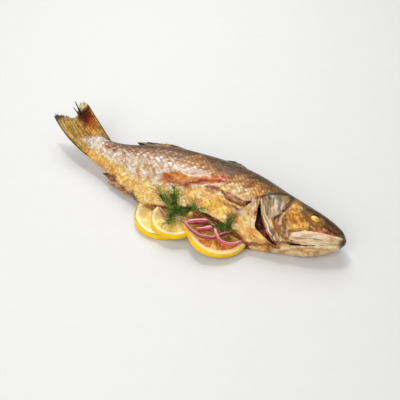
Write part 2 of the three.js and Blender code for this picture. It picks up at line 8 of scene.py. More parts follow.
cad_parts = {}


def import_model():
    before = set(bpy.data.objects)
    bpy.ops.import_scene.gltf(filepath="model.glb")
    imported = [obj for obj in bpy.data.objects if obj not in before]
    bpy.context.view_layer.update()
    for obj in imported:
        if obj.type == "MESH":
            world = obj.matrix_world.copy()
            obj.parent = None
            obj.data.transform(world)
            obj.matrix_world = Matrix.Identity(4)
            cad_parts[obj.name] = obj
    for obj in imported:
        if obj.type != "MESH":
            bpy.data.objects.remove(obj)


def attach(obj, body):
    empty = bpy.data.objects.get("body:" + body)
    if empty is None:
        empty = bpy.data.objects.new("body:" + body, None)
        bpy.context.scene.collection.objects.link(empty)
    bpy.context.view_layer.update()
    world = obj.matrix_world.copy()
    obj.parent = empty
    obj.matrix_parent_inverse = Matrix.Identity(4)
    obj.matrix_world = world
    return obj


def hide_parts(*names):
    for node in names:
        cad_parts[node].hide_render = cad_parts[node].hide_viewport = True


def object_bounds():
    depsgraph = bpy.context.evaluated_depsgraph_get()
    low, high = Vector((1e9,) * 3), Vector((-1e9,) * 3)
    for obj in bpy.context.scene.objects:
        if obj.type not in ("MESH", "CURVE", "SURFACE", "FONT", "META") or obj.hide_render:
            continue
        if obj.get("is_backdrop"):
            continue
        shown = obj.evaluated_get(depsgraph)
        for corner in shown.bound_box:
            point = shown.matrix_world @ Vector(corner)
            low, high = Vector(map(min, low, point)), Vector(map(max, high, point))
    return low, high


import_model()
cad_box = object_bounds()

MM = 0.001
SHIFT = np.array((-1.755, 9.994, 0.0))  # from the drawing frame to the middle of the footprint
NOISE_GAIN = 1.6  # spreads a noise over -1 to 1

# The fish lies belly down by this angle, its axis at this height. OUT points out of the upper flank.
LIE_ANGLE = math.radians(20)
COS, SIN = math.cos(LIE_ANGLE), math.sin(LIE_ANGLE)
AXIS_HEIGHT = 17.5
OUT = np.array((0.0, -SIN, COS))
SNOUT = 160.0
TAIL_ROOT = -99.0

# The soft underside lies flat inside this outline on the table, and rises slowly round it.
UNDERSIDE = ((-18, -28), (97, -28), (93, 10), (-18, 5))
UNDERSIDE_RISE = 0.015

# The body's outline and thickness: along, back, belly, half thickness.
BODY = (
    (160, -4.5, -8.5, 1.5), (157, -0.5, -13.0, 6.5), (150, 4.2, -19.0, 10.5),
    (139, 8.8, -26.5, 14.0), (127, 12.2, -30.8, 16.5), (113, 15.8, -34.0, 18.5),
    (98, 19.8, -37.6, 20.0), (80, 25.4, -41.3, 21.2), (60, 29.6, -43.2, 22.0),
    (40, 31.6, -43.6, 22.0), (15, 31.6, -42.6, 21.4), (-10, 30.4, -39.2, 19.6),
    (-30, 27.2, -33.2, 16.6), (-50, 21.8, -24.6, 12.4), (-68, 17.6, -17.0, 9.0),
    (-82, 17.0, -11.6, 6.2), (-92, 19.4, -8.4, 3.6), (-99, 21.0, -6.0, 1.6),
)
THICKEST = 0.12  # how far the section's thickest place sits towards the back
SECTION_POWER = 2.15  # 2 is an ellipse, more is fuller
# Rings of points along the body, how they crowd towards the snout, and the points in each ring.
SKIN_GRID = dict(rings=391, crowding=1.1, upper=184, under=46)
LINING_GRID = dict(rings=21, crowding=1.3, sides=40)

# The belly's opening: its hollow, the wall under it, and the cut along the edge of the upper flap.
POCKET = dict(start=-28, end=87, deep=6, top=27, wall=4, squareness=0.55)
UNDER_FLAP = dict(lip=1.3, slope=0.08, lip_y=-42)
OPENED = dict(start=-27, end=90, low=1.7, high=60)
CLEAR_OF_BELLY = -70  # where the cutters end, well outside the fish
FLAP_EDGE = ((-30, -41), (-14, -38), (-2, -37), (10, -35.5), (22, -33.5), (36, -33),
             (50, -34), (62, -35.5), (74, -37.5), (84, -40.5), (94, -47))

# The head, as places along and back. Here and below, a spot is a colour, share, place and half size,
# and may add softness and slant. A line is a colour, share, half width and points.
COVER_FRONT = ((103.5, 11.5), (106, 4.5), (104.5, -4), (103.4, -14), (107, -22), (113, -28))
COVER_REAR = ((86, 5.5), (84.5, -3.5), (89, -13), (95, -22.5), (102.5, -28.6), (109.5, -31.6))
GILL_SLIT_REAR = ((82.8, -4.2), (84, -9.5), (85.2, -16), (86.4, -22), (88, -26.8), (93.5, -29.6),
                  (100.5, -31.9), (108, -33))
GILL_SLIT_DEPTHS = (8, 3.2)  # at the slit's front and at its rear
COVER_RISE = 2.8  # how far the cover rises to its rear edge
COVER_SPOTS = (
    ("ab9a78", 0.95, (97.5, -1), (6, 10), 0.3, 0.2), ("ecccb4", 0.85, (98.6, -9), (3, 6), 0.6),
    ("8c866a", 0.75, (95.5, 4), (4.5, 4), 0.6, 0.5), ("bcb454", 0.75, (101, 7), (2.2, 3.2), 0.8),
    ("30323a", 0.85, (91, 1), (1.8, 1.8), 0.6), ("e2cabc", 0.6, (102.5, 1), (2, 4)),
    ("b0682c", 0.75, (103.5, -21), (4.5, 3.5), 0.6, -0.7), ("f0c07c", 0.6, (98, -20.5), (2.4, 2)),
)
COVER_LINES = (
    ("ecd49c", 0.8, 1.3, ((88, -5), (92, -12), (96, -18), (101, -23))),
    ("6a5018", 0.8, 0.8, ((87.5, -4), (91, -9), (95, -14.5))),
    ("f8dcc8", 0.85, 0.8, ((84.8, -4), (88.4, -12), (92.6, -18), (97.6, -23), (103.6, -27.4))),
    ("4a2410", 0.8, 0.5, ((86.4, -4), (90, -12), (94.2, -18), (99.2, -23), (105.4, -27.4))),
    ("8a5a30", 0.7, 0.6, ((99, -17), (104, -22), (110, -27))),
    ("6e5a54", 0.7, 0.5, ((93, 3), (96, -3), (98, -10))),
    ("76645a", 0.7, 0.5, ((98, 6), (100.5, -1), (101, -8))),
    ("1f1208", 0.92, 1.5, ((84, -1), (87, 2.4), (91, 6), (97, 10), (104, 13))),
    ("5a1e0a", 0.8, 1.3, ((85, -2.5), (88, 1.5))),
    ("2e1a0c", 0.92, 1.0, ((105, 12), (106, 5), (104.8, -3), (103.2, -10), (101.8, -15.5))),
)
PREOPERCLE = ((106, 12.5), (107.6, 5), (107.2, -2), (105, -9), (102.6, -15))
ABOVE_JAW = ((152, -7.7), (141, -8.9), (133, -11.4), (126, -14), (118, -18))
THROAT_FOLD = ((84, -39), (93, -37), (102, -34.4), (111, -33))
GILL_COMBS = ((0.45, 5.2), (0.15, 3.6))  # how far each reaches over the slit, and its depth
GILL_FILAMENTS = 34
# The eye: its radius, how narrow it is, how far it stands out, the skin's rim round it, and its turn
# towards the snout.
EYE_AT = (131, -1.2)
EYE = dict(radius=4.7, flat=0.64, rise=0.9, rim=5.7, rim_tube=0.9, rim_flat=0.74, turn=0.2)
MOUTH = ((158.5, -10.5), (148.5, -16.8), (139.5, -21.2), (131, -24.6), (119.5, -27.4))
MOUTH_GAPE = (0.3, 0.3, 0.35, 0.8, 1.5)
MOUTH_DEPTHS = (2.5, 2.5)  # at the upper edge and at the lower one
MAXILLA_TOP = ((157.5, -6.5), (148, -9.4), (138, -12), (129.5, -14.6), (119, -20))
MAXILLA_LOW = ((157.5, -9.8), (148.3, -15.8), (139.3, -20.2), (130.5, -23.8), (117, -25.6))

# Scales: a scale's length and height, how far its corner is rounded and its edges are bowed, and how
# high it stands. They are drawn a little larger than a real fish's, so that they show.
SCALE_LONG, SCALE_TALL = 4.4, 4.2
SCALE_ROUND = 0.7
SCALE_BULGE = 0.13
SCALE_LIFT = 0.25

# The patch of skin that tore and browned.
TORN = dict(along=20, back=-4, long=27, wide=6.5, depth=0.9, slant=0.22)

# Marks of the roasting: dry pale skin, gold where the oil lay, and brown spots, folds and edges, with a few
# painted highlights among them. Each is laid over the ones before it.
FLANK_SPOTS = (
    # fdf2e2, f6e8da and f8ead6 are painted highlights along the flank, over its pale silver skin.
    ("fdf2e2", 0.85, (12, 2.8), (19, 3.0), 0.7, 0.04), ("f6e8da", 0.6, (-15, 3), (11, 5), 0.8),
    ("f8ead6", 0.7, (-42, -1), (15, 6), 0.8), ("fbf0e0", 0.95, (-98, 10), (13, 5.5), 0.5, 0.1),
    ("f6eadc", 0.7, (-71, -1.5), (5, 3)), ("a8702c", 0.75, (15, 17), (11, 6), 0.6),
    ("5a4228", 0.6, (40, 17), (15, 7), 0.8), ("8f6f62", 0.6, (-68, 11), (15, 3.4)),
    ("c47c50", 0.7, (-82, 7), (3.6, 2.2)), ("dfc85c", 0.7, (-62, -9.5), (12, 2.2), 0.7, -0.15),
    ("fdbc50", 0.9, (-84, -5), (14, 2.6), 0.7, -0.28), ("ffd250", 0.85, (54, -20), (10, 4.5), 0.6),
    ("fbc244", 0.7, (42, -23), (9, 3)), ("d8862e", 0.6, (30, -22), (7, 2.4)),
    ("d07a24", 0.65, (66, -25.5), (6, 2.4)), ("d4b43c", 0.6, (17, -19), (7, 2)),
    ("f4d8a4", 0.6, (60, -1), (13, 3), 0.8), ("dc9630", 0.8, (77, 2), (5, 4), 0.6),
    ("e0b84c", 0.6, (-5, -22), (16, 3), 0.8), ("e8953c", 0.6, (84, -31), (7, 2.6)),
    ("f6dca4", 0.6, (97, -33), (7, 1.5), 0.7, 0.15),
)
TORN_SPOTS = (
    ("c86e12", 0.95, (2.5, -9.0), (11, 6.4), 0.35, 0.15), ("a8560e", 0.75, (-4, -10), (5, 3), 0.6),
    # fbcf88 is a painted highlight on the torn patch.
    ("a8620e", 0.8, (8, -13.4), (6, 2), 0.6), ("fbcf88", 0.8, (6, -6.0), (1.6, 1.2), 0.6),
    ("c88c62", 0.85, (13, -9), (3.4, 3), 0.5), ("964208", 0.92, (40, -7), (6.4, 2.4), 0.4, 0.1),
    ("a87c2c", 0.6, (40, -11), (5, 1.7), 0.6), ("a04c10", 0.9, (-60, -18.8), (3.2, 1.4), 0.5, -0.4),
    ("b0764a", 0.7, (-26, -3.6), (2.6, 1.2), 0.6), ("fbf0e0", 0.9, (73.6, -20), (2.6, 3.6), 0.5),
    ("d6c84e", 0.7, (78, -19), (3, 6.5), 0.6), ("7c5420", 0.6, (51.5, 9.5), (4, 1.6), 0.6, -0.3),
    ("b4641c", 0.8, (58, -16.6), (9, 1.7), 0.7, -0.12),
    ("3a2010", 0.8, (67, -17.6), (5.5, 1.0), 0.6, -0.12),
)
FLANK_LINES = (
    ("b85c1c", 0.97, 4.2, ((16, -11.5), (20, -8), (24, -4.6), (30, -1.4), (37, 1.2), (45, 3.4))),
    ("843406", 0.88, 2.2, ((16.5, -12), (20, -8.5), (24, -5.4), (30, -2.4), (35, -0.6))),
    ("e89458", 0.7, 0.8, ((20, -5), (25, -1.6), (31, 1.2), (37, 3.4))),
    ("d89060", 0.8, 0.7, ((21, -9), (25, -7.2), (29, -5), (34, -3))),
    ("cc6838", 0.8, 2.0, ((36, 0.8), (41, 2.6), (46, 4.0))),
    ("983c08", 0.85, 0.9, ((33, -0.6), (39, 0.6), (47, 2.6))),
    ("f0b090", 0.6, 0.6, ((38, 1.8), (42, 3.2), (46, 3.6))),
    # fdecd2 is a painted highlight along the torn patch's raised lower edge.
    ("fdecd2", 0.9, 1.0, ((22, -12), (27, -9.8), (32, -6.4), (38, -4.0), (45, -1.4))),
    ("8c3c06", 0.8, 0.9, ((-7, -7), (-2, -9.4), (3, -10), (8, -8.6))),
    ("f0b460", 0.6, 0.7, ((-4, -6.4), (1, -6.8), (6, -5))),
    ("fbe8d4", 0.8, 0.9, ((10, -1.5), (17, -1.2), (24, 1), (32, 3.6))),
    ("ecd0b8", 0.85, 1.0, ((77.5, -4), (80.4, -12), (83, -19), (85.4, -26))),
    ("e8ccb0", 0.8, 0.7, ((74.6, -5), (77.6, -13), (80, -20), (82, -27))),
    ("8a5a3c", 0.75, 0.5, ((76, -4.5), (79, -12.5), (81.5, -19.5), (83.6, -26.5))),
    ("5c2410", 0.85, 0.7, ((79, -1.5), (81.5, -6), (83.5, -12), (84.6, -17))),
    ("8a6c2c", 0.7, 0.6, ((-36, -10), (-33, -15), (-30, -19))),
    ("8a6c2c", 0.6, 0.6, ((-43, -4), (-39, -8), (-36, -12))),
    ("8a6c2c", 0.6, 0.6, ((-22, -5), (-19, -9), (-15, -13))),
    ("94765a", 0.6, 0.6, ((-20, 9), (-17, 4), (-13, -2))),
    ("94765a", 0.6, 0.6, ((-60, 4), (-56, -1), (-52, -7))),
    ("8a6c4c", 0.6, 0.6, ((-10, 12), (-7, 6), (-3, 3))),
    ("6a4a34", 0.7, 0.8, ((-80, 8), (-75, 6), (-69, 4))),
    ("a08a2c", 0.6, 0.7, ((-98, 1), (-86, -3), (-74, -6))),
    ("94702c", 0.6, 0.6, ((-28, 0), (-25, -6), (-21, -16))),
    ("a0722c", 0.6, 0.6, ((6, -18), (12, -21), (20, -24))),
    ("7a5a3c", 0.7, 0.7, ((-30, 14), (-15, 13), (3, 13.6))),
)
CHEEK_SPOTS = (
    ("d8942a", 0.85, (112, -3), (6.5, 9), 0.6), ("f8c050", 0.8, (115.5, -15.5), (4.5, 2.4), 0.6),
    ("da8414", 0.85, (120, -8.5), (7, 5.2), 0.7, -0.2), ("a04c06", 0.75, (121, -6.6), (3, 1.8), 0.8, -0.3),
    ("ffc850", 0.8, (116.5, -8.6), (1.6, 1.6)), ("fbb43c", 0.8, (124, -12), (3.4, 1.8), 0.6, 0.3),
    ("8a4406", 0.6, (114.6, -11.6), (1.8, 1.2)), ("ffdc8c", 0.7, (121.6, -14.6), (2.4, 1), 0.7, 0.2),
    ("ffd874", 0.9, (128, -13), (2.6, 3.2), 0.6, 0.4), ("f4d078", 0.75, (111, 1.5), (2.4, 3)),
    ("efd68a", 0.55, (117, 3), (2.4, 1.4), 0.8), ("8a5222", 0.7, (134.5, -8.5), (3, 3)),
    ("9a721c", 0.8, (133, -4.6), (7.5, 1.5), 0.6, 0.1), ("b8743a", 0.6, (106, -23), (5, 5), 0.7, -0.8),
)
SNOUT_SPOTS = (
    ("2e2010", 0.7, (146, -0.8), (5.5, 2.2), 0.6, -0.1),
    ("e88860", 0.92, (140, -9.2), (3.6, 1.7), 0.5, 0.45),
    ("a8441c", 0.8, (146.5, -7.6), (4, 1.5), 0.6, 0.2), ("2a1a10", 0.9, (147.3, 0.2), (1.2, 0.9), 0.4),
    ("1e140a", 0.9, (144, 0.8), (1.4, 1.0), 0.4), ("7c5a1c", 0.6, EYE_AT, (6.6, 4.6), 0.3),
)
HEAD_LINES = (
    ("3a2408", 0.88, 1.5, ((106, 13), (107.6, 6), (107.4, 0), (106, -5))),
    ("4a2410", 0.85, 0.8, ((106, -5), (104.4, -10), (102.4, -15))),
    ("f0ccae", 0.55, 0.8, ((106.4, -7), (105.4, -12), (106.4, -17))),
    ("6a3410", 0.8, 0.7, ((109.5, -11), (111, -17), (114, -23))),
    ("f4dcc4", 0.4, 0.6, ((113.8, -20), (115.4, -24))),
    ("6a3c12", 0.7, 0.6, ((108.6, -6), (107.8, -12), (109.4, -18))),
    ("9a5a28", 0.6, 0.7, ((104, -27.5), (109, -29), (115, -28.6))),
    ("281a0c", 0.88, 1.3, ((123, 5), (129, 6.2), (136, 4.2), (142, 1.4))),
    ("c07048", 0.7, 0.7, ((123, 1), (126.5, -4), (129, -8.5))),
    ("5c3008", 0.6, 0.7, ((125, -2), (127, -5), (131, -5.8), (136, -4.6))),
    ("481404", 0.92, 1.6, ((141, -4.8), (148, -5.6), (154, -6.8), (158.6, -8.4))),
    ("7a4420", 0.55, 0.6, ABOVE_JAW),
    ("1c0e08", 0.9, 0.9, ((116.5, -27.8), (121, -27.6), (127, -26.2))),
    ("a06a34", 0.75, 0.6, ((126, -29), (133, -28), (139, -25.8), (143, -23.4))),
    ("7a3208", 0.8, 0.8, THROAT_FOLD),
    ("22140a", 0.92, 1.2, ((84, 0.6), (87, 3.6), (92, 7.4), (97, 10.6), (104, 13.4))),
    ("6a2c0c", 0.75, 1.6, ((78.5, -3.6), (81, -1.2), (84, 1.5), (88, 5.2))),
)

# The fins. A tail spike is its low and high root and its low and high tip. A folded fin has its ends and
# height, how far its tips are swept back at each end, its rays and how ragged and split they are, and the
# colours of its skin, edge, root and rear.
FIN_SUNK = 2.2  # how far a folded fin's roots lie inside the body's outline
RAY_STEPS = 6  # rows of points to a ray
TAIL_ROOTS = ((-90, -8), (-92, -1), (-92, 7), (-90, 14), (-86, 18.5))
TAIL_TIPS = ((-157.5, 25), (-151, 27.8), (-142, 28.7), (-134, 29.6), (-135.8, 37.5), (-139.2, 46),
             (-135.8, 49.4), (-128.6, 48))
TAIL_BOW = 4.2
TAIL_SPOTS = (
    ("c88a34", 0.85, (-109, 24), (8, 8), 0.6, -0.6), ("b05c18", 0.92, (-116, 33), (8.5, 6), 0.6, -0.6),
    ("c4641c", 0.7, (-114, 34), (4, 3), 0.7, -0.6), ("7c2c0c", 0.85, (-119.5, 27), (3.6, 5), 0.7, -0.6),
    ("6e2200", 0.97, (-125.3, 36.2), (9.0, 9), 0.35, -0.6),
    ("3a0c00", 0.9, (-127.3, 36.8), (5.6, 5.6), 0.6, -0.6),
    ("ece2b4", 0.95, (-133.8, 44.2), (6.2, 5.6), 0.5, 0.4), ("7e7c50", 0.8, (-138.6, 47), (3, 3.4), 0.6),
    ("a88c3c", 0.7, (-138, 20), (10, 6), 0.7, -0.4), ("c8a468", 0.6, (-122, 9), (10, 3), 0.7, -0.4),
    ("444a30", 0.85, (-142, 28.4), (12, 3.4), 0.6, -0.05),
    ("161a12", 0.95, (-152.8, 25.8), (8.5, 5.5), 0.5, -0.2),
    ("d8a24c", 0.85, (-103, 21.5), (5, 3.4), 0.6, 0.4), ("b0701c", 0.8, (-110, 16), (3, 5), 0.6),
    ("fcf4ec", 0.97, (-99.5, 11.2), (9.5, 6.2), 0.5, 0.25), ("efb050", 0.9, (-98, -4.5), (9, 4), 0.6, -0.4),
    ("e0c07c", 0.7, (-110, 4), (8, 3), 0.7, -0.4),
)
TAIL_SPIKES = (((-129, 33.4), (-128.4, 35.2), (-143.6, 46.4), (-143.2, 47)),
               ((-130, 31.8), (-129.6, 33), (-141, 38.9), (-140.7, 39.5)))
SOFT_DORSAL = dict(start=-3, end=-49, height=4.6, sweep=(3.6, 9.6), rays=9, ragged=0.14, split=0.03, seed=23,
                   colours=("a87424", "786228", "3a2810"), rear="3a3416")
SPINY_DORSAL = dict(start=55, end=41, height=4.6, sweep=(2.0, 8.0), rays=3, ragged=0.12, split=0.06, seed=29,
                    colours=("766c5c", "847a6a", "40362a"), rear="4e463a")
ANAL_FIN = dict(start=-28, end=-60, height=7.4, sweep=(18, 20), rays=6, ragged=0.5, split=0.05, seed=31,
                colours=("c89c74", "8c6444", "7c441c"), rear="a87454")
PECTORAL_TOP = ((76.5, -7.6), (70, -8.6), (62, -7.2), (55, -6.2), (47, -6.2))
PECTORAL_LOW = ((76.5, -9.6), (71, -14), (63, -15.2), (55.5, -12.8), (49.5, -9.2))

# Lemon slices: the middle of the underside, how the slice leans, and how it is roasted.
SLICE_THICKNESS = 5.6
SLICE_SEGMENTS = 10
SLICE_UNEVEN = (0.012, 0.008)  # shares of the radius by which its outline goes in and out
SLICES = (
    dict(name="lemon_slice_rear", at=(4, -34, 2.9), radius=28.5, lean=(0, 0.085), turn=0.2,
         roasted=0.08, scorched=0.9),
    dict(name="lemon_slice_middle", at=(17.5, -39.2, 8.4), radius=22.5, lean=(0, 0.085), turn=0.9,
         roasted=0.12, scorched=0.5),
    dict(name="lemon_slice_front", at=(55.5, -35.5, 10.6), radius=28.5, lean=(-0.28, 0.16), turn=0.5,
         roasted=0.95, scorched=0.25),
)
PRESSED = 0.45  # the gap that the fish keeps round a slice pressed into it

# Red onion: half width at one end, the middle and the other end, half height, the flesh's, skin's and
# deepest colours, and the middle line.
ONION_STEPS, ONION_SIDES = 90, 28
ONIONS = (
    dict(name="onion_ring_large", wide=(0.9, 1.25, 1), high=1.7, colours=("e0787c", "a81228", "5e0a18"),
         line=((23.4, -44.2, 15.6), (27.6, -47.4, 18.4), (32.2, -50.8, 22), (38, -54.2, 20.8),
               (46.8, -55.4, 18), (53.3, -53.3, 16.2), (59.2, -49.2, 15), (63.3, -43, 14.8),
               (68.2, -36.9, 14.6))),
    dict(name="onion_ring_small", wide=(1.1, 1.5, 1.3), high=1.6, colours=("f6a894", "e0605c", "ac2c40"),
         line=((56.6, -43.9, 20), (60.2, -48, 19), (64.4, -50.3, 15.6), (69.2, -49.7, 13),
               (74.8, -46.6, 11.6), (78.7, -42, 11.3), (80, -39.6, 11.6))),
    dict(name="onion_wedge", wide=(1.4, 2.6, 2.1), high=2.3, colours=("e0586c", "b81030", "780a20"),
         line=((34, -50.4, 22.8), (40, -45.2, 21.9), (47.9, -39, 20.3))),
    dict(name="onion_strip", wide=(0.8, 1.2, 2.3), high=1.6, colours=("f08c88", "d83c50", "a81c34"),
         line=((42.6, -50.6, 19.2), (47.4, -47.4, 18.4), (53.4, -42.2, 18.3))),
    dict(name="onion_petal", wide=(0.9, 1.7, 1), high=1.3, colours=("d87a70", "a82038", "701424"),
         line=((0.2, -38.8, 16), (5.4, -42.8, 16.2), (11.2, -46.6, 15.9))),
)

# Dill: the sizes of its growth, in metres, and each stem's middle line.
DILL_SIZES = {"Frond gap": 0.0014, "Frond length": 0.0078, "Thread length": 0.0046, "Thread radius": 0.00022,
              "Stem radius": 0.0005}
DILLS = (
    dict(name="dill_large", seed=41, stems=(
        ((23.5, -40.5, 18.4), (14, -39.5, 19.6), (6, -37, 22.5), (-1, -34.5, 25)),
        ((15.5, -39.8, 19.4), (26, -37, 22), (37, -34, 26)),
        ((18, -40.5, 19), (16.5, -48, 18.2), (18.5, -55, 17.6)),
        ((12, -39, 20), (12, -35, 26), (10.5, -29, 31.5)))),
    dict(name="dill_small", seed=57, stems=(
        ((55, -42, 20.5), (62.5, -39.5, 19.4), (70, -37.6, 18.4)),
        ((62.5, -39.5, 19.4), (65.5, -37.5, 23), (67, -34.5, 27.5)))),
)

# The studio. The camera looks at a place on the fish. Its distance and the lamps' places and sizes are
# in metres, and their power is in watts.
CAMERA = dict(target=(27.02, -12.75, 15), distance=0.6, azimuth=26.89, elevation=42, lens=60.33, sensor=36)
LAMPS = (
    ("broad_lamp", (-0.35, 0.65, 0.85), 0.7, 5.0),
    ("small_lamp", (-0.30, 0.28, 0.95), 0.16, 2.4),
    ("front_lamp", (0.0, -0.9, 0.8), 1.0, 8.5),
)
ROOM_LIGHT = 0.40
TABLE_REACH = 2.0


# Curves and places.

def world(points):
    """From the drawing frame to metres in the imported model's frame."""
    return (np.asarray(points, float) + SHIFT) * MM


def linear(hexa):
    """A colour from sRGB hex to linear."""
    s = np.array([int(hexa[i:i + 2], 16) / 255 for i in (0, 2, 4)])
    return np.where(s <= 0.04045, s / 12.92, ((s + 0.055) / 1.055) ** 2.4)


def rgba(hexa):
    """A colour from sRGB hex as a node's linear red, green, blue and alpha."""
    return (*linear(hexa), 1.0)


def smooth(points):
    """A smooth curve y(x) through a few points, by cubic pieces with parabolic slopes."""
    p = np.array(sorted(points), float)
    x, y = p[:, 0], p[:, 1]
    secant = np.diff(y) / np.diff(x)
    before, after = np.diff(x)[:-1], np.diff(x)[1:]
    inner = (secant[:-1] * after + secant[1:] * before) / (before + after)
    slope = np.concatenate([secant[:1], inner, secant[-1:]])

    def curve(at):
        c = np.clip(at, x[0], x[-1])
        i = np.clip(np.searchsorted(x, c, side="right") - 1, 0, len(x) - 2)
        h = x[i + 1] - x[i]
        t = (c - x[i]) / h
        ends = y[i] * (1 + 2 * t) * (1 - t) ** 2 + y[i + 1] * t * t * (3 - 2 * t)
        return ends + h * slope[i] * t * (1 - t) ** 2 + h * slope[i + 1] * t * t * (t - 1)
    return curve


def spline(points):
    """A smooth curve through points, by an even parameter from 0 to 1."""
    p = np.array(points, float)
    last = len(p) - 1

    def curve(t):
        s = np.clip(np.asarray(t, float), 0, 1) * last
        i = np.minimum(s.astype(int), last - 1)
        w = (s - i)[..., None]
        one, two = p[i], p[i + 1]
        out = (two - p[np.maximum(i - 1, 0)]) / 2
        into = (p[np.minimum(i + 2, last)] - one) / 2
        cubic = (2 * one - 2 * two + out + into) * w ** 3
        return cubic + (3 * two - 3 * one - 2 * out - into) * w ** 2 + out * w + one
    return curve


def soft(value, low, high):
    """0 below low, 1 above high, and smooth between them. It falls where low is over high."""
    t = np.clip((value - low) / (high - low), 0, 1)
    return t * t * (3 - 2 * t)


back_line = smooth([(s[0], s[1]) for s in BODY])
belly_line = smooth([(s[0], s[2]) for s in BODY])
half_thickness = smooth([(s[0], s[3]) for s in BODY])
flap_edge = smooth(FLAP_EDGE)


def lying(along, back, out):
    """From the fish's own directions to the drawing frame."""
    along, back, out = np.broadcast_arrays(along, back, out)
    return np.stack([along, back * COS - out * SIN, AXIS_HEIGHT + back * SIN + out * COS], -1)


def fullness(share):
    """The part of the half thickness at a share of the way from a section's middle to its rim."""
    clamped = np.minimum(np.abs(share), 1)
    return (1 - clamped ** SECTION_POWER) ** (1 / SECTION_POWER) * (1 + THICKEST * share)


def section_share(along, back):
    """Where a place lies between the belly's edge, -1, and the back's, 1."""
    top, low = back_line(along), belly_line(along)
    return (back - (top + low) / 2) / ((top - low) / 2)


def flank(along, back):
    """How far out the skin lies."""
    return half_thickness(along) * fullness(section_share(along, back))


def resting(x, y):
    """The height of the mould under the soft underside."""
    corners = np.array(UNDERSIDE, float)
    height = np.zeros_like(x)
    for one, two in zip(corners, np.roll(corners, -1, 0)):
        way = (two - one) / np.linalg.norm(two - one)
        height = np.maximum(height, way[1] * (x - one[0]) - way[0] * (y - one[1]))
    return UNDERSIDE_RISE * height


def rough(along, back, size, seed, stretch=1.0):
    """Smooth noise between about -1 and 1 with features of a size along, and size / stretch across."""
    a, b = np.broadcast_arrays(np.asarray(along, float), np.asarray(back, float))
    flat = [noise.noise(Vector((x / size, y * stretch / size, seed))) for x, y in zip(a.ravel(), b.ravel())]
    return np.array(flat).reshape(a.shape) * NOISE_GAIN


def stroke(along, back, points, width, edge=0.9):
    """1 on a drawn line and 0 away from it, with a soft edge."""
    path = spline(points)(np.linspace(0, 1, 8 * len(points)))
    nearest = np.full(np.broadcast(along, back).shape, np.inf)
    for one, two in zip(path[:-1], path[1:]):
        way = two - one
        t = np.clip(((along - one[0]) * way[0] + (back - one[1]) * way[1]) / (way @ way), 0, 1)
        gap = np.hypot(along - one[0] - t * way[0], back - one[1] - t * way[1])
        nearest = np.minimum(nearest, gap)
    return soft(nearest, width * (1 + edge), width * (1 - edge))


def spot(along, back, at, size, edge=0.7, slant=0.0):
    """1 inside a leaning oval and 0 outside it, with a soft edge."""
    x = (along - at[0]) / size[0]
    y = (back - at[1] - slant * (along - at[0])) / size[1]
    return soft(np.hypot(x, y), 1 + edge, 1 - edge)


# Meshes.

def add_object(name, data):
    made = bpy.data.objects.new(name, data)
    bpy.context.scene.collection.objects.link(made)
    return made


def shade(data, slot=0):
    """Gives every face one material slot and smooth shading."""
    data.polygons.foreach_set("material_index", np.full(len(data.polygons), slot, np.int32))
    data.polygons.foreach_set("use_smooth", np.ones(len(data.polygons), bool))


def closed_piece(name, points, faces, materials, slot=0, uv=None):
    """A closed mesh from points in millimetres, its faces turned outwards. uv has a pair for each point."""
    data = bpy.data.meshes.new(name)
    data.from_pydata([tuple(p) for p in world(points)], [], [tuple(int(i) for i in f) for f in faces])
    for material in materials:
        data.materials.append(material)
    shade(data, slot)
    if uv is not None:
        corner = np.zeros(len(data.loops), np.int32)
        data.loops.foreach_get("vertex_index", corner)
        data.uv_layers.new(name="surface").data.foreach_set("uv", np.asarray(uv, np.float32)[corner].ravel())
    made = bmesh.new()
    made.from_mesh(data)
    bmesh.ops.remove_doubles(made, verts=made.verts, dist=1e-7)
    bmesh.ops.recalc_face_normals(made, faces=made.faces)
    made.to_mesh(data)
    made.free()
    return add_object(name, data)


def store(piece, **values):
    """Stores a number or a colour for each point of a piece."""
    for name, value in values.items():
        value = np.asarray(value, np.float32)
        if value.ndim == 2:
            made = piece.data.attributes.new(name, "FLOAT_COLOR", "POINT")
            made.data.foreach_set("color", np.hstack([value, np.ones((len(value), 1), np.float32)]).ravel())
        else:
            made = piece.data.attributes.new(name, "FLOAT", "POINT")
            made.data.foreach_set("value", value.ravel())


def fish_places(piece):
    """Each point's place along and back, the reverse of lying."""
    co = np.zeros(len(piece.data.vertices) * 3, np.float32)
    piece.data.vertices.foreach_get("co", co)
    p = co.reshape(-1, 3).astype(float) / MM - SHIFT
    return p[:, 0], p[:, 1] * COS + (p[:, 2] - AXIS_HEIGHT) * SIN


def surface_uv(piece):
    """Each point's place on its sheet, from 0 to 1 both ways."""
    found = np.zeros((len(piece.data.vertices), 2))
    for loop, uv in zip(piece.data.loops, piece.data.uv_layers[0].data):
        found[loop.vertex_index] = uv.uv
    return found.T


def replace_mesh(piece):
    """Applies a piece's modifiers."""
    evaluated = piece.evaluated_get(bpy.context.evaluated_depsgraph_get())
    made = bpy.data.meshes.new_from_object(evaluated, preserve_all_data_layers=True,
                                           depsgraph=bpy.context.evaluated_depsgraph_get())
    old = piece.data
    piece.modifiers.clear()
    piece.data = made
    made.name = piece.name
    bpy.data.meshes.remove(old)


def cut(piece, cutters, operation="DIFFERENCE"):
    """Cuts a piece with each cutter, which is used up."""
    for cutter in cutters:
        modifier = piece.modifiers.new("cut", "BOOLEAN")
        modifier.operation = operation
        modifier.solver = "MANIFOLD"
        modifier.object = cutter
        replace_mesh(piece)
        bpy.data.objects.remove(cutter)


def grid_faces(rows, columns, wrap_rows=False, wrap_columns=False):
    """Faces between neighbours in a grid of points."""
    faces = []
    for r in range(rows if wrap_rows else rows - 1):
        near, far = r * columns, (r + 1) % rows * columns
        for c in range(columns if wrap_columns else columns - 1):
            d = (c + 1) % columns
            faces.append((near + c, far + c, far + d, near + d))
    return faces


def with_ends(rings):
    """Rings of values as one list that ends with the middles of the first ring and the last."""
    return np.vstack([rings.reshape(-1, rings.shape[-1]), rings[0].mean(0), rings[-1].mean(0)])


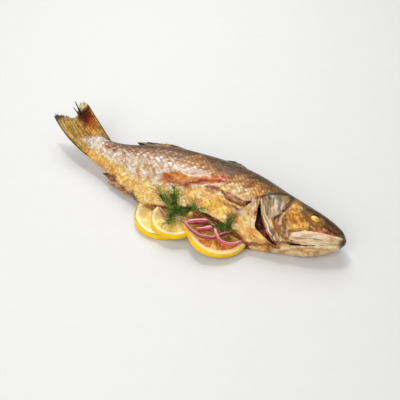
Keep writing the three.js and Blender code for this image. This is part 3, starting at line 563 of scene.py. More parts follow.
def tube(name, rings, materials, uv=None, slot=0):
    """A closed skin over rings of points, with a fan over each end."""
    count, sides = rings.shape[:2]
    faces = grid_faces(count, sides, wrap_columns=True)
    first, last = count * sides, count * sides + 1
    faces += [(first, s, (s + 1) % sides) for s in range(sides)]
    end = (count - 1) * sides
    faces += [(last, end + (s + 1) % sides, end + s) for s in range(sides)]
    return closed_piece(name, with_ends(rings), faces, materials, slot, None if uv is None else with_ends(uv))


def sheet(name, place, depth, columns, rows, materials):
    """A thin closed sheet: place(u, v) gives its middle, and depth(u, v) its thickness."""
    u, v = np.meshgrid(np.linspace(0, 1, columns), np.linspace(0, 1, rows), indexing="ij")
    middle, half = place(u, v), depth(u, v)[..., None] / 2
    top, low = middle + OUT * half, middle - OUT * half
    points = np.vstack([top.reshape(-1, 3), low.reshape(-1, 3)])
    count = columns * rows
    faces = grid_faces(columns, rows)
    faces += [tuple(count + i for i in reversed(f)) for f in grid_faces(columns, rows)]
    rim = [c * rows for c in range(columns)]
    rim += [(columns - 1) * rows + r for r in range(1, rows)]
    rim += [c * rows + rows - 1 for c in range(columns - 2, -1, -1)]
    rim += range(rows - 2, 0, -1)
    faces += [(a, b, count + b, count + a) for a, b in zip(rim, rim[1:] + rim[:1])]
    uv = np.vstack([np.stack([u.ravel(), v.ravel()], 1)] * 2)
    return closed_piece(name, points, faces, materials, uv=uv)


def prism(name, outline, low, high, materials, slot):
    """An upright block over an outline on the table's plane."""
    count = len(outline)
    points = [(x, y, low) for x, y in outline] + [(x, y, high) for x, y in outline]
    faces = [tuple(range(count)), tuple(range(2 * count - 1, count - 1, -1))]
    faces += [(i, (i + 1) % count, count + (i + 1) % count, count + i) for i in range(count)]
    return closed_piece(name, points, faces, materials, slot)


# Materials.

def node(tree, kind, inputs=None, out=0, **settings):
    """Adds a node with its settings and links, and gives one of its outputs."""
    made = tree.nodes.new(kind if "Node" in kind else "ShaderNode" + kind)
    for name, value in settings.items():
        setattr(made, name, value)
    for key, value in (inputs or {}).items():
        if isinstance(value, bpy.types.NodeSocket):
            tree.links.new(value, made.inputs[key])
        else:
            made.inputs[key].default_value = value
    return made.outputs[out] if len(made.outputs) else made


def new_material(name, shader):
    """A material from a function that adds a shader's nodes to a tree."""
    material = bpy.data.materials.new(name)
    material.use_nodes = True
    material.node_tree.nodes.clear()
    node(material.node_tree, "OutputMaterial", {"Surface": shader(material.node_tree)})
    return material


def scale_pattern(tree):
    """How far a place lies inside its scale's rim, how high the scale stands there, and chances of its
    own for each scale. The rows count scales, which lie over each other towards the tail."""
    rows = node(tree, "Attribute", out="Vector", attribute_name="rows")
    within = node(tree, "SeparateXYZ", {0: node(tree, "VectorMath", {0: rows}, operation="FRACTION")})
    within = within.node.outputs
    rim = node(tree, "Math", {0: within[0], 1: within[1], 2: SCALE_ROUND}, operation="SMOOTH_MIN")
    lap = node(tree, "Math", {0: within[0], 1: within[1]}, operation="ADD")
    lap = node(tree, "MapRange", {0: lap, 1: 2.0, 2: 0.3, 3: 0.0, 4: SCALE_LIFT})
    step = node(tree, "MapRange", {0: rim, 1: 0.0, 2: 0.10, 4: lap}, interpolation_type="SMOOTHSTEP")
    each = node(tree, "VectorMath", {0: rows}, operation="FLOOR")
    chance = node(tree, "SeparateColor", {0: node(tree, "TexWhiteNoise", {0: each}, "Color")})
    return rim, step, chance.node.outputs


def crease_pattern(tree, skin):
    """The way to the nearest crease, 0 on it: creases about 4 mm apart, and finer ones between them."""
    drift = node(tree, "TexNoise", {"Vector": skin, "Scale": 0.12, "Detail": 1.0}, "Color")
    bent = node(tree, "VectorMath", {0: drift, 1: (4.0, 4.0, 4.0), 2: skin}, operation="MULTIPLY_ADD")
    creases = []
    for scale, bend in ((0.17, 0.6), (0.55, 0.4)):
        crease = node(tree, "TexNoise", {"Vector": bent, "Scale": scale, "Detail": 2.0, "Distortion": bend})
        crease = node(tree, "Math", {0: crease, 1: 0.5}, operation="SUBTRACT")
        creases.append(node(tree, "Math", {0: crease}, operation="ABSOLUTE"))
    return creases


def roast_skin(tree):
    """Roast fish skin brushed with oil: thin and crisp over its scale pockets. It gives wet sparkles on gold,
    painted shade in its creases, painted highlights on the crests of its folds and painted glints on some
    scales, a dark net between the scales, and silver where the skin kept its shine."""
    place = node(tree, "TexCoord", out="Object")
    tint = node(tree, "Attribute", out="Color", attribute_name="tint")
    net, crisp, silver = [node(tree, "Attribute", out="Fac", attribute_name=name)
                          for name in ("net", "crisp", "silver")]
    # Millimetres along the fish, towards its back, and out of it.
    skin = node(tree, "Mapping", {0: place, "Rotation": (-LIE_ANGLE, 0, 0), "Scale": [1 / MM] * 3})
    rim, step, chance = scale_pattern(tree)
    line = node(tree, "MapRange", {0: rim, 1: 0.13, 2: 0.0}, interpolation_type="SMOOTHSTEP")
    middle = node(tree, "MapRange", {0: rim, 1: 0.05, 2: 0.40, 4: net}, interpolation_type="SMOOTHSTEP")
    fold, fine = crease_pattern(tree, skin)
    pillow = node(tree, "MapRange", {0: fold, 1: 0.0, 2: 0.14, 4: 0.55}, interpolation_type="SMOOTHSTEP")
    small = node(tree, "MapRange", {0: fine, 1: 0.0, 2: 0.13, 4: 0.22}, interpolation_type="SMOOTHSTEP")
    # The grain is half a millimetre, and toasted spots are a centimetre wide.
    grain = node(tree, "TexNoise", {"Vector": skin, "Scale": 1.6, "Detail": 2.0})
    toast = node(tree, "TexNoise", {"Vector": skin, "Scale": 0.13, "Detail": 3.0})

    brown, dark, light, pale = [
        node(tree, "Mix", {0: 1.0, 6: tint, 7: times}, 2, data_type="RGBA", blend_type="MULTIPLY",
             clamp_result=True)
        for times in (rgba("cd9c66"), rgba("6e543c"), (1.5, 1.45, 1.3, 1), (1.6, 1.95, 2.9, 1))]
    # Each coat's mask, its share and its colour.
    masks = (
        (node(tree, "MapRange", {0: toast, 1: 0.50, 2: 0.66, 4: crisp}), 0.50, brown),
        # Brown on the big and the fine creases is painted shade in them.
        (node(tree, "MapRange", {0: fold, 1: 0.055, 2: 0.0, 4: crisp}), 0.55, brown),
        (node(tree, "MapRange", {0: fine, 1: 0.03, 2: 0.0, 4: crisp}), 0.60, brown),
        # Light on the folds' crests is a painted highlight.
        (node(tree, "MapRange", {0: fold, 1: 0.09, 2: 0.18, 4: crisp}), 0.80, light),
        # Pale middles on some scales, lifted towards blue-white, are painted glints.
        (node(tree, "MapRange", {0: chance[0], 1: 0.40, 2: 0.9, 4: middle}), 1.0, pale),
        (node(tree, "MapRange", {0: chance[1], 1: 0.40, 2: 0.9, 4: middle}), 1.0, brown),
        (node(tree, "MapRange", {0: line, 4: net}), 0.95, dark),
        (node(tree, "MapRange", {0: grain, 1: 0.52, 2: 0.72}), 0.20, brown),
    )
    colour = tint
    for mask, share, coat in masks:
        mask = node(tree, "Math", {0: mask, 1: share}, operation="MULTIPLY")
        colour = node(tree, "Mix", {0: mask, 6: colour, 7: coat}, 2, data_type="RGBA")

    height = node(tree, "Math", {0: step, 1: net}, operation="MULTIPLY")
    for bulge, share in ((pillow, crisp), (small, crisp), (grain, 0.10)):
        height = node(tree, "Math", {0: bulge, 1: share, 2: height}, operation="MULTIPLY_ADD")
    bump = node(tree, "Bump", {"Height": height, "Strength": 1.0, "Distance": MM})
    shine = node(tree, "Math", {0: silver, 1: 0.25}, operation="MULTIPLY")
    return node(tree, "BsdfPrincipled", {
        "Base Color": colour, "Metallic": shine, "Normal": bump, "Specular IOR Level": 0.25,
        "Coat Roughness": 0.10,
        "Roughness": node(tree, "MapRange", {0: toast, 1: 0.35, 2: 0.65, 3: 0.24, 4: 0.40}),
        "Coat Weight": node(tree, "Math", {0: crisp, 1: 0.4}, operation="MULTIPLY")})


def cooked_flesh(tree):
    """Belly lining and flesh under the skin, roasted moist: brown where it stood open, pale flakes
    where it broke."""
    place = node(tree, "TexCoord", out="Object")
    # Flakes are about 3 mm wide, and browned patches 1.5 cm.
    flakes = node(tree, "TexNoise", {"Vector": place, "Scale": 350.0, "Detail": 4.0, "Distortion": 0.6})
    large = node(tree, "TexNoise", {"Vector": place, "Scale": 60.0, "Detail": 2.0})
    colour = rgba("9c5a26")
    for mask, coat in ((node(tree, "MapRange", {0: large, 1: 0.4, 2: 0.65}), rgba("4a200e")),
                       (node(tree, "MapRange", {0: flakes, 1: 0.52, 2: 0.72, 4: 0.7}), rgba("d8a566"))):
        colour = node(tree, "Mix", {0: mask, 6: colour, 7: coat}, 2, data_type="RGBA")
    bump = node(tree, "Bump", {"Height": flakes, "Strength": 0.8, "Distance": MM})
    return node(tree, "BsdfPrincipled", {"Base Color": colour, "Roughness": 0.36, "Normal": bump,
                                         "Coat Weight": 0.2, "Coat Roughness": 0.15})


def gill_flesh(tree):
    """Gills under the cover: combed into filaments, which are drawn a millimetre apart to show. It gives
    a wet crimson over a near-black that is painted shade in the slit's depth and in the mouth."""
    place = node(tree, "TexCoord", out="Object")
    # Filaments are 1 mm apart, and mottled every 4 mm. The red fades into painted shade at the slit's rear
    # and in the mouth.
    combed = node(tree, "TexWave", {"Vector": place, "Scale": 320.0, "Distortion": 3.0, "Detail": 2.0}, "Fac",
                  bands_direction="X")
    mottle = node(tree, "TexNoise", {"Vector": place, "Scale": 240.0, "Detail": 2.0})
    forward = node(tree, "SeparateXYZ", {0: place})
    mouth = node(tree, "MapRange", {0: forward, 1: 0.118, 2: 0.112})
    red = node(tree, "MapRange", {0: forward, 1: 0.084, 2: 0.096, 4: mouth})
    # The near-black base is painted shade for the slit's depth and the mouth.
    colour = rgba("1c0904")
    for mask, coat in ((node(tree, "Math", {0: combed, 1: red}, operation="MULTIPLY"), rgba("8c3016")),
                       (node(tree, "MapRange", {0: mottle, 1: 0.50, 2: 0.70, 4: red}), rgba("b86a44"))):
        colour = node(tree, "Mix", {0: mask, 6: colour, 7: coat}, 2, data_type="RGBA")
    bump = node(tree, "Bump", {"Height": combed, "Strength": 0.8, "Distance": 0.6 * MM})
    return node(tree, "BsdfPrincipled", {"Base Color": colour, "Roughness": 0.35, "Normal": bump,
                                         "Specular IOR Level": 0.25})


def fin_membrane(tree):
    """Roasted fin: bony rays under thin skin that has dried and browned. It gives fine ribs, a dull
    gloss, and dark scorched edges."""
    tint = node(tree, "Attribute", out="Color", attribute_name="tint")
    rays = node(tree, "Attribute", out="Fac", attribute_name="rays")
    place = node(tree, "TexCoord", out="Object")
    # Scorched blotches are about 3 mm wide, and speckles half of that.
    blotch = node(tree, "TexNoise", {"Vector": place, "Scale": 300.0, "Detail": 4.0})
    speckle = node(tree, "TexNoise", {"Vector": place, "Scale": 620.0, "Detail": 2.0})
    dark, pale = [
        node(tree, "Mix", {0: 1.0, 6: tint, 7: times}, 2, data_type="RGBA", blend_type="MULTIPLY",
             clamp_result=True)
        for times in (rgba("7a5a3c"), (1.7, 1.6, 1.3, 1))]
    colour = tint
    for mask, coat in ((node(tree, "MapRange", {0: rays, 1: 0.45, 2: 0.0, 4: 0.6}), dark),
                       (node(tree, "MapRange", {0: rays, 1: 0.60, 2: 1.0, 4: 0.8}), pale),
                       (node(tree, "MapRange", {0: blotch, 1: 0.48, 2: 0.68, 4: 0.55}), dark),
                       (node(tree, "MapRange", {0: speckle, 1: 0.54, 2: 0.64, 4: 0.50}), dark),
                       (node(tree, "MapRange", {0: speckle, 1: 0.46, 2: 0.36, 4: 0.45}), pale)):
        colour = node(tree, "Mix", {0: mask, 6: colour, 7: coat}, 2, data_type="RGBA")
    height = node(tree, "Math", {0: blotch, 1: 0.25, 2: 0.0}, operation="MULTIPLY_ADD")
    height = node(tree, "Math", {0: rays, 1: 0.20, 2: height}, operation="MULTIPLY_ADD")
    bump = node(tree, "Bump", {"Height": height, "Strength": 1.0, "Distance": MM})
    return node(tree, "BsdfPrincipled", {"Base Color": colour, "Roughness": 0.5, "Normal": bump,
                                         "Specular IOR Level": 0.18})


def cooked_eye(tree):
    """Eye of a roasted fish: set hard, clouded and wet. It gives a dull yellow with one sharp glint."""
    tint = node(tree, "Attribute", out="Color", attribute_name="tint")
    place = node(tree, "TexCoord", out="Object")
    # The clouding's patches are about 2.4 mm wide, a quarter of the eye.
    cloud = node(tree, "TexNoise", {"Vector": place, "Scale": 420.0, "Detail": 3.0, "Distortion": 0.8})
    colour = tint
    for mask, coat in ((node(tree, "MapRange", {0: cloud, 1: 0.45, 2: 0.7, 4: 0.5}), rgba("b07420")),
                       (node(tree, "MapRange", {0: cloud, 1: 0.50, 2: 0.3, 4: 0.35}), rgba("fff0b8"))):
        colour = node(tree, "Mix", {0: mask, 6: colour, 7: coat}, 2, data_type="RGBA")
    bump = node(tree, "Bump", {"Height": cloud, "Strength": 0.6, "Distance": MM})
    return node(tree, "BsdfPrincipled", {"Base Color": colour, "Roughness": 0.30, "Normal": bump,
                                         "Coat Weight": 0.5, "Coat Roughness": 0.08})


def lemon_cut(tree):
    """Lemon slice, roasted: waxy pored peel, dry pith, and flesh of long wet juice sacs that catch
    the light and brown where they dried."""
    tint = node(tree, "Attribute", out="Color", attribute_name="tint")
    wet = node(tree, "Attribute", out="Fac", attribute_name="wet")
    peel = node(tree, "Attribute", out="Fac", attribute_name="peel")
    surface = node(tree, "UVMap", uv_map="surface")
    place = node(tree, "TexCoord", out="Object")
    # Juice sacs are about 1.6 mm wide and 5 mm long, and point at the middle.
    sacs = node(tree, "Mapping", {0: surface, "Scale": (62.0, 5.5, 1.0)})
    sac = node(tree, "TexVoronoi", {"Vector": sacs, "Scale": 1.0, "Randomness": 0.8}, "Distance",
               feature="SMOOTH_F1", voronoi_dimensions="2D")
    # Oil pores in the peel are about a millimetre apart, and the flesh's tone wanders over 6 mm.
    pores = node(tree, "TexVoronoi", {"Vector": place, "Scale": 900.0}, "Distance")
    uneven = node(tree, "TexNoise", {"Vector": place, "Scale": 170.0, "Detail": 3.0})
    pale = node(tree, "Mix", {0: 0.4, 6: tint, 7: rgba("fff4b0")}, 2, data_type="RGBA")
    deep = node(tree, "Mix", {0: 1.0, 6: tint, 7: rgba("e8b864")}, 2, data_type="RGBA", blend_type="MULTIPLY")
    dimple = node(tree, "Math", {0: peel, 1: pores}, operation="MULTIPLY")
    colour = tint
    for mask, coat in ((node(tree, "MapRange", {0: sac, 1: 0.55, 2: 0.1, 4: wet}), deep),
                       (node(tree, "MapRange", {0: sac, 1: 0.35, 2: 0.7, 4: wet}), pale),
                       (node(tree, "MapRange", {0: uneven, 1: 0.50, 2: 0.72, 4: wet}), deep),
                       (node(tree, "MapRange", {0: dimple, 1: 0.25, 2: 0.5, 4: 0.35}), deep)):
        colour = node(tree, "Mix", {0: mask, 6: colour, 7: coat}, 2, data_type="RGBA")
    height = node(tree, "Math", {0: wet, 1: sac}, operation="MULTIPLY")
    height = node(tree, "Math", {0: dimple, 1: -0.35, 2: height}, operation="MULTIPLY_ADD")
    bump = node(tree, "Bump", {"Height": height, "Strength": 0.6, "Distance": 0.6 * MM})
    return node(tree, "BsdfPrincipled", {
        "Base Color": colour, "Normal": bump, "IOR": 1.38, "Specular IOR Level": 0.3, "Coat Roughness": 0.12,
        "Roughness": node(tree, "MapRange", {0: wet, 3: 0.38, 4: 0.18}),
        "Coat Weight": node(tree, "MapRange", {0: wet, 3: 0.03, 4: 0.3}),
        "Subsurface Weight": 0.12, "Subsurface Radius": (0.003, 0.002, 0.0008), "Subsurface Scale": 1.0})


def onion_flesh(tree):
    """Red onion softened in oil: thin wet layers with long fibres. It gives a glossy crimson skin over
    a pink inside."""
    tint = node(tree, "Attribute", out="Color", attribute_name="tint")
    surface = node(tree, "UVMap", uv_map="surface")
    # Fibres are about half a millimetre wide, and run along the strip.
    fibres = node(tree, "Mapping", {0: surface, "Scale": (2.0, 18.0, 1.0)})
    streak = node(tree, "TexNoise", {"Vector": fibres, "Scale": 1.0, "Detail": 2.0})
    pale = node(tree, "Mix", {0: 0.35, 6: tint, 7: rgba("ffc0c4")}, 2, data_type="RGBA")
    light = node(tree, "MapRange", {0: streak, 1: 0.50, 2: 0.72, 4: 0.8})
    colour = node(tree, "Mix", {0: light, 6: tint, 7: pale}, 2, data_type="RGBA")
    bump = node(tree, "Bump", {"Height": streak, "Strength": 0.3, "Distance": 0.3 * MM})
    return node(tree, "BsdfPrincipled", {
        "Base Color": colour, "Roughness": 0.22, "IOR": 1.38, "Normal": bump, "Specular IOR Level": 0.3,
        "Coat Weight": 0.35, "Coat Roughness": 0.08,
        "Subsurface Weight": 0.12, "Subsurface Radius": (0.002, 0.0006, 0.0006), "Subsurface Scale": 1.0})


def dill_leaf(tree):
    """Fresh dill, oiled by the fish: soft round threads. It gives a deep leaf green, lighter where
    threads crowd, with a faint gloss."""
    place = node(tree, "TexCoord", out="Object")
    # Light and dark tufts are about as wide as a thread is long, 4.5 mm.
    tufts = node(tree, "TexNoise", {"Vector": place, "Scale": 220.0, "Detail": 2.0})
    colour = rgba("3c6416")
    for mask, coat in ((node(tree, "MapRange", {0: tufts, 1: 0.48, 2: 0.66}), rgba("8a9e30")),
                       (node(tree, "MapRange", {0: tufts, 1: 0.46, 2: 0.30}), rgba("1c3a0e"))):
        colour = node(tree, "Mix", {0: mask, 6: colour, 7: coat}, 2, data_type="RGBA")
    return node(tree, "BsdfPrincipled", {"Base Color": colour, "Roughness": 0.42, "IOR": 1.42})


def white_table(tree):
    """Table top of matt white laminate. It gives soft shadows and no pattern of its own."""
    place = node(tree, "TexCoord", out="Object")
    # A faint unevenness of about a centimetre, too weak to see as a pattern.
    cast = node(tree, "TexNoise", {"Vector": place, "Scale": 90.0, "Detail": 3.0})
    colour = node(tree, "Mix", {0: cast, 6: rgba("dcdcdb"), 7: rgba("e0e0df")}, 2, data_type="RGBA")
    return node(tree, "BsdfPrincipled", {"Base Color": colour, "Roughness": 0.6})


# The fish's body.

def torn(along, back):
    """Above 0 on the torn patch, and 1 in its middle."""
    dx = (along - TORN["along"]) / TORN["long"]
    dy = (back - TORN["back"] - TORN["slant"] * (along - TORN["along"])) / TORN["wide"]
    return np.maximum(0, 1 - dx * dx - dy * dy)


def skin_relief(along, back):
    """The unevenness of the skin that the solid has too."""
    waves = 0.28 * np.sin(along * 0.33 + 0.12 * back) * np.sin(back * 0.29 + 1)
    waves = waves + 0.2 * np.sin(along * 0.71 - back * 0.37)
    calm = soft(120 - along, 0, 40)
    return waves * calm - TORN["depth"] * np.minimum(1, torn(along, back) * 2.5)


def girth(along, back):
    """The way over the skin from the ridge down to a place, with the section taken as an ellipse."""
    reach = (back_line(along) - belly_line(along)) / 2
    turn = np.arccos(np.clip(section_share(along, back), -1, 1))
    at = turn[..., None] * (np.arange(12) + 0.5) / 12
    speed = np.hypot(reach[..., None] * np.sin(at), half_thickness(along)[..., None] * np.cos(at))
    return speed.mean(-1) * turn


def scale_rows(along, back):
    """Counts the slanting rows of scales, both ways. A scale lies between whole numbers, and its edge
    is bowed out."""
    u = along / SCALE_LONG + 0.22 * rough(along, back, 24, 6.1)
    v = girth(along, back) / SCALE_TALL + 0.18 * rough(along, back, 17, 8.3)
    bulge = lambda row: SCALE_BULGE * np.sin(np.pi * row) ** 2
    return u + v + bulge(u - v), u - v + bulge(u + v)


def scale_net(along, back):
    """How much the scales show: most on the back, none on the head, the belly and the torn patch."""
    share = section_share(along, back)
    rear = soft(along, 15, -25)
    shown = 0.12 + (0.24 + 0.14 * rear) * soft(share, -0.75, -0.2)
    shown = shown + (0.76 - 0.2 * rear) * soft(share, 0.05, 0.35)
    return shown * soft(along, 101, 92) * (1 - soft(torn(along, back), 0, 0.25)) * soft(along, -104, -88)


def scale_relief(along, back):
    """How high the scales stand: each rises from its edge and dips towards the next."""
    p, q = scale_rows(along, back)
    one, two = p % 1, q % 1
    near = np.maximum(SCALE_ROUND - np.abs(one - two), 0) / SCALE_ROUND
    rim = np.minimum(one, two) - near ** 3 * SCALE_ROUND / 6
    return scale_net(along, back) * SCALE_LIFT * soft(rim, 0.0, 0.16) * np.clip((2 - one - two) / 1.7, 0, 1)


def fine_relief(along, back):
    """Scales, crinkles, the head's bones and its grooves."""
    share = section_share(along, back)
    loose = soft(share, 0.6, 0.15) * soft(along, 100, 84) * soft(along, -100, -70)
    pillows = np.abs(rough(along, back, 7.5, 3.1, 1.5)) - 0.3
    creases = np.abs(rough(along, back, 3.4, 8.7, 1.3)) - 0.3
    relief = loose * (-0.85 * pillows - 0.45 * creases)
    relief += 0.22 * loose * soft(along, -2, -14) * rough(along, back, 2.0, 4.4, 0.25)
    ragged = soft(torn(along, back), 0.0, 0.12) * soft(torn(along, back), 0.5, 0.2)
    relief += ragged * (0.5 + 0.5 * rough(along, back, 2.6, 9.9))
    relief += scale_relief(along, back)
    head = soft(along, 98, 112)
    down = girth(along, back)
    relief += head * (0.34 * rough(along, down, 5, 5.5) - 0.34 * np.abs(rough(along, down, 2.6, 7.5)))
    for lift, mask in (
            (1.0, spot(along, back, (117, -7), (10, 9), 0.6)),
            (0.8, stroke(along, back, ((150, 1.6), (141, 5), (131, 5.8), (122, 6.5)), 2.0)),
            (0.5, stroke(along, back, ((150, -20.5), (139, -25.2), (127, -28.6), (114, -30.5)), 1.6)),
            (-0.6, stroke(along, back, PREOPERCLE, 0.9, 0.8)),
            (-0.6, stroke(along, back, ABOVE_JAW, 0.9, 0.8)),
            (-0.5, stroke(along, back, ((149, -18.4), (139, -23), (127, -26.6), (114, -28.6)), 0.6, 0.8)),
            (-0.5, stroke(along, back, THROAT_FOLD, 0.8, 0.8)),
            (-0.8, spot(along, back, (147.3, -0.6), (1.1, 0.7), 0.4)),
            (-0.8, spot(along, back, (144, 0.3), (1.3, 0.8), 0.4)),
            (-1.0, spot(along, back, EYE_AT, (6.8, 5.2), 0.15))):
        relief += lift * mask
    return relief


def body_rings(grid, angles, inset, floor, relief):
    """Rings of points round the body, moved in by an inset and kept above a floor. They lie closer
    together towards the snout."""
    along = SNOUT - np.linspace(0, 1, grid["rings"]) ** grid["crowding"] * (SNOUT - TAIL_ROOT)
    top, low = back_line(along) - inset, belly_line(along) + inset
    half = np.maximum(half_thickness(along) - inset, 0.3)
    middle, reach = (top + low) / 2, np.maximum((top - low) / 2, 0.5)
    towards, across = np.cos(angles), np.sin(angles)
    a = np.repeat(along[:, None], len(angles), 1)
    back = middle[:, None] + reach[:, None] * towards
    swell = half[:, None] * fullness(towards) + relief(a, back) * across ** 2
    out = np.sign(np.round(across * 1e6)) * swell
    points = lying(a, back, out)
    points[..., 2] = np.maximum(points[..., 2], floor(points[..., 0], points[..., 1]))
    return points


def hollow(materials, slot):
    """The gutted belly's hollow, and the cut that opens it along the flap's edge."""
    angles = np.linspace(0, 2 * np.pi, LINING_GRID["sides"], endpoint=False)
    lip_y = UNDER_FLAP["lip_y"]
    floor = lambda x, y: UNDER_FLAP["lip"] + UNDER_FLAP["slope"] * (y - lip_y)
    rings = body_rings(LINING_GRID, angles, POCKET["wall"], floor, lambda a, b: 0 * a)
    inner = tube("hollow", rings, materials, slot=slot)
    start, end = POCKET["start"], POCKET["end"]
    middle, reach = (start + end) / 2, (end - start) / 2
    outline = [(start, CLEAR_OF_BELLY), (end, CLEAR_OF_BELLY)]
    for angle in np.linspace(0, np.pi, 33):
        rise = max(math.sin(angle), 0) ** POCKET["squareness"]
        outline.append((middle + reach * math.cos(angle), lip_y + (POCKET["deep"] - lip_y) * rise))
    cut(inner, [prism("room", outline, -5, POCKET["top"], materials, slot)], "INTERSECT")
    start, end = OPENED["start"], OPENED["end"]
    ragged = [(x, float(flap_edge(x)) + 0.5 * noise.noise(Vector((x / 3, 0, 4))))
              for x in range(start, end + 1)]
    ragged += [(end, CLEAR_OF_BELLY), (start, CLEAR_OF_BELLY)]
    return [inner, prism("opened", ragged, OPENED["low"], OPENED["high"], materials, slot)]


def band_cutter(name, first, second, depths, side, materials, slot):
    """A cutter over a thin outline on the flank, from a depth up to well above the skin."""
    above = 34.0
    t = np.linspace(0, 1, 40)
    one, two = spline(first)(t), spline(second)(t)
    uneven = np.stack([np.sin(29 * t) * np.sin(11 * t), np.cos(23 * t) * np.sin(9 * t)], 1)
    two = two + 0.35 * uneven * np.sin(np.pi * t)[:, None]
    ring = lambda path, out: lying(path[:, 0], path[:, 1], side * out)
    low = [np.maximum(flank(path[:, 0], path[:, 1]) - depth, 1) for path, depth in zip((one, two), depths)]
    rings = np.stack([ring(one, above), ring(two, above), ring(two, low[1]), ring(one, low[0])], 1)
    return tube(name, rings, materials, slot=slot)


def mould(materials):
    """The space over the table that the fish may fill: flat under it, and rising slowly from there."""
    reach, top = 400, 90.0
    inner = np.array(UNDERSIDE, float)
    ways = np.roll(inner, -1, 0) - inner
    ways /= np.linalg.norm(ways, axis=1)[:, None]
    outs = np.stack([ways[:, 1], -ways[:, 0]], 1)
    both = outs + np.roll(outs, 1, 0)
    outer = inner + both * (reach / (both * outs).sum(1))[:, None]
    ring = lambda points, z: np.hstack([points, np.full((4, 1), z)])
    levels = [ring(inner, 0.0), ring(outer, reach * UNDERSIDE_RISE), ring(outer, top)]
    return tube("mould", np.stack(levels), materials)


def leaning(points, dims, lift):
    """Sets points down on a slice's leaning plane."""
    up = Vector((-dims["lean"][0], -dims["lean"][1], 1)).normalized()
    turn = np.array(Vector((0, 0, 1)).rotation_difference(up).to_matrix())
    return points @ turn.T + np.array(dims["at"]) + np.array(up) * lift


def pressed_disc(dims, materials, slot):
    """The room that a lemon slice takes."""
    radius = dims["radius"] * (1 + sum(SLICE_UNEVEN)) + PRESSED
    angles = np.linspace(0, 2 * np.pi, 72, endpoint=False)
    half = SLICE_THICKNESS / 2 + PRESSED
    rings = np.stack([np.stack([radius * np.cos(angles), radius * np.sin(angles), angles * 0 + z], -1)
                      for z in (-half, half)])
    return tube("pressed", leaning(rings, dims, SLICE_THICKNESS / 2), materials, slot=slot)


def tint_layers(tint, *layers):
    """Lays colours over a tint, each with its mask. A plain hex value is the whole first coat."""
    if isinstance(tint, str):
        tint = np.tile(linear(tint), (len(layers[0][1]), 1))
    for hexa, mask in layers:
        tint = tint + (linear(hexa) - tint) * np.asarray(mask)[..., None]
    return tint


def coats(a, b, spots=(), lines=()):
    """Layers for tint_layers from leaning spots and drawn lines."""
    layers = [(hexa, share * spot(a, b, *oval)) for hexa, share, *oval in spots]
    return layers + [(hexa, share * stroke(a, b, points, width)) for hexa, share, width, points in lines]


def skin_tint(along, back):
    """The roast's colours over the body and head."""
    down = girth(along, back)
    a = along + 3.5 * rough(along, down, 15, 1.3)
    b = back + 2.0 * rough(along, down, 9, 2.9)
    near_a = along + 1.4 * rough(along, down, 5, 1.9)
    near_b = back + 1.0 * rough(along, down, 3.5, 3.4)
    share = section_share(a, b)
    rear, front = soft(a, 22, -12), soft(a, 22, 48)
    streaks = rough(along, down, 9, 4.7, 2.4)
    highlight_flecks = rough(along, down, 4.5, 7.7, 1.4)
    tint = tint_layers(
        "fbcf74",
        ("e2c094", 0.9 * rear * soft(share, -0.70, -0.35)),
        ("e2a03c", 0.85 * soft(a, -20, -55) * soft(share, -0.55, -0.80)),
        ("fcba4a", 0.85 * front * soft(share, 0.0, -0.35)),
        ("d88a34", 0.5 * soft(streaks, 0.1, 0.5) * soft(share, 0.1, -0.2) * soft(a, -10, 20)),
        # Pale flecks on the flank and belly, and white-lilac ones on the rear flank, are painted highlights.
        ("fff2cc", 0.75 * soft(highlight_flecks, 0.1, 0.5) * soft(share, 0.2, 0.0)
         * (1 - 0.6 * soft(share, -0.4, -0.7))),
        ("f8eef0", 0.7 * rear * soft(highlight_flecks, 0.0, 0.4) * soft(share, -0.5, -0.2) * soft(share, 0.5, 0.2)),
        ("bd8440", 0.75 * front * soft(share, 0.0, 0.22)),
        ("b08c6a", 0.8 * rear * soft(share, 0.10, 0.3)),
        ("ac7436", 0.8 * (1 - rear) * soft(share, 0.22, 0.36)),
        ("8f683e", 0.85 * rear * soft(share, 0.34, 0.52)),
        ("87581e", 0.85 * (1 - rear) * soft(share, 0.40, 0.56)),
        ("5c3e12", 0.9 * soft(share, 0.58, 0.74) * soft(along, -99, -88)),
        ("241806", 0.92 * soft(share, 0.78, 0.93) * soft(along, -99, -88)),
    )
    over = back - flap_edge(along)
    opened = soft(along, -34, -26) * soft(along, 96, 86)
    tint = tint_layers(tint, *coats(a, b, FLANK_SPOTS),
                       ("ac621e", 0.6 * soft(torn(near_a, near_b), 0.0, 0.35)),
                       *coats(near_a, near_b, TORN_SPOTS, FLANK_LINES),
                       ("fddf9c", 0.6 * opened * soft(over, 7.5, 6) * soft(over, 3.0, 4.5)),
                       ("a85a14", 0.8 * opened * soft(over, 3.6, 1.8)),
                       ("5c2408", 0.8 * opened * soft(over, 2.6, 1.0) * soft(streaks, -0.5, 0.2)),
                       ("4a2a14", 0.85 * soft(along, -72, -62) * soft(along, -22, -30)
                        * soft(share, -0.88, -0.97)))
    return head_tint(tint, along, back, down, a, b, near_a, near_b, share)


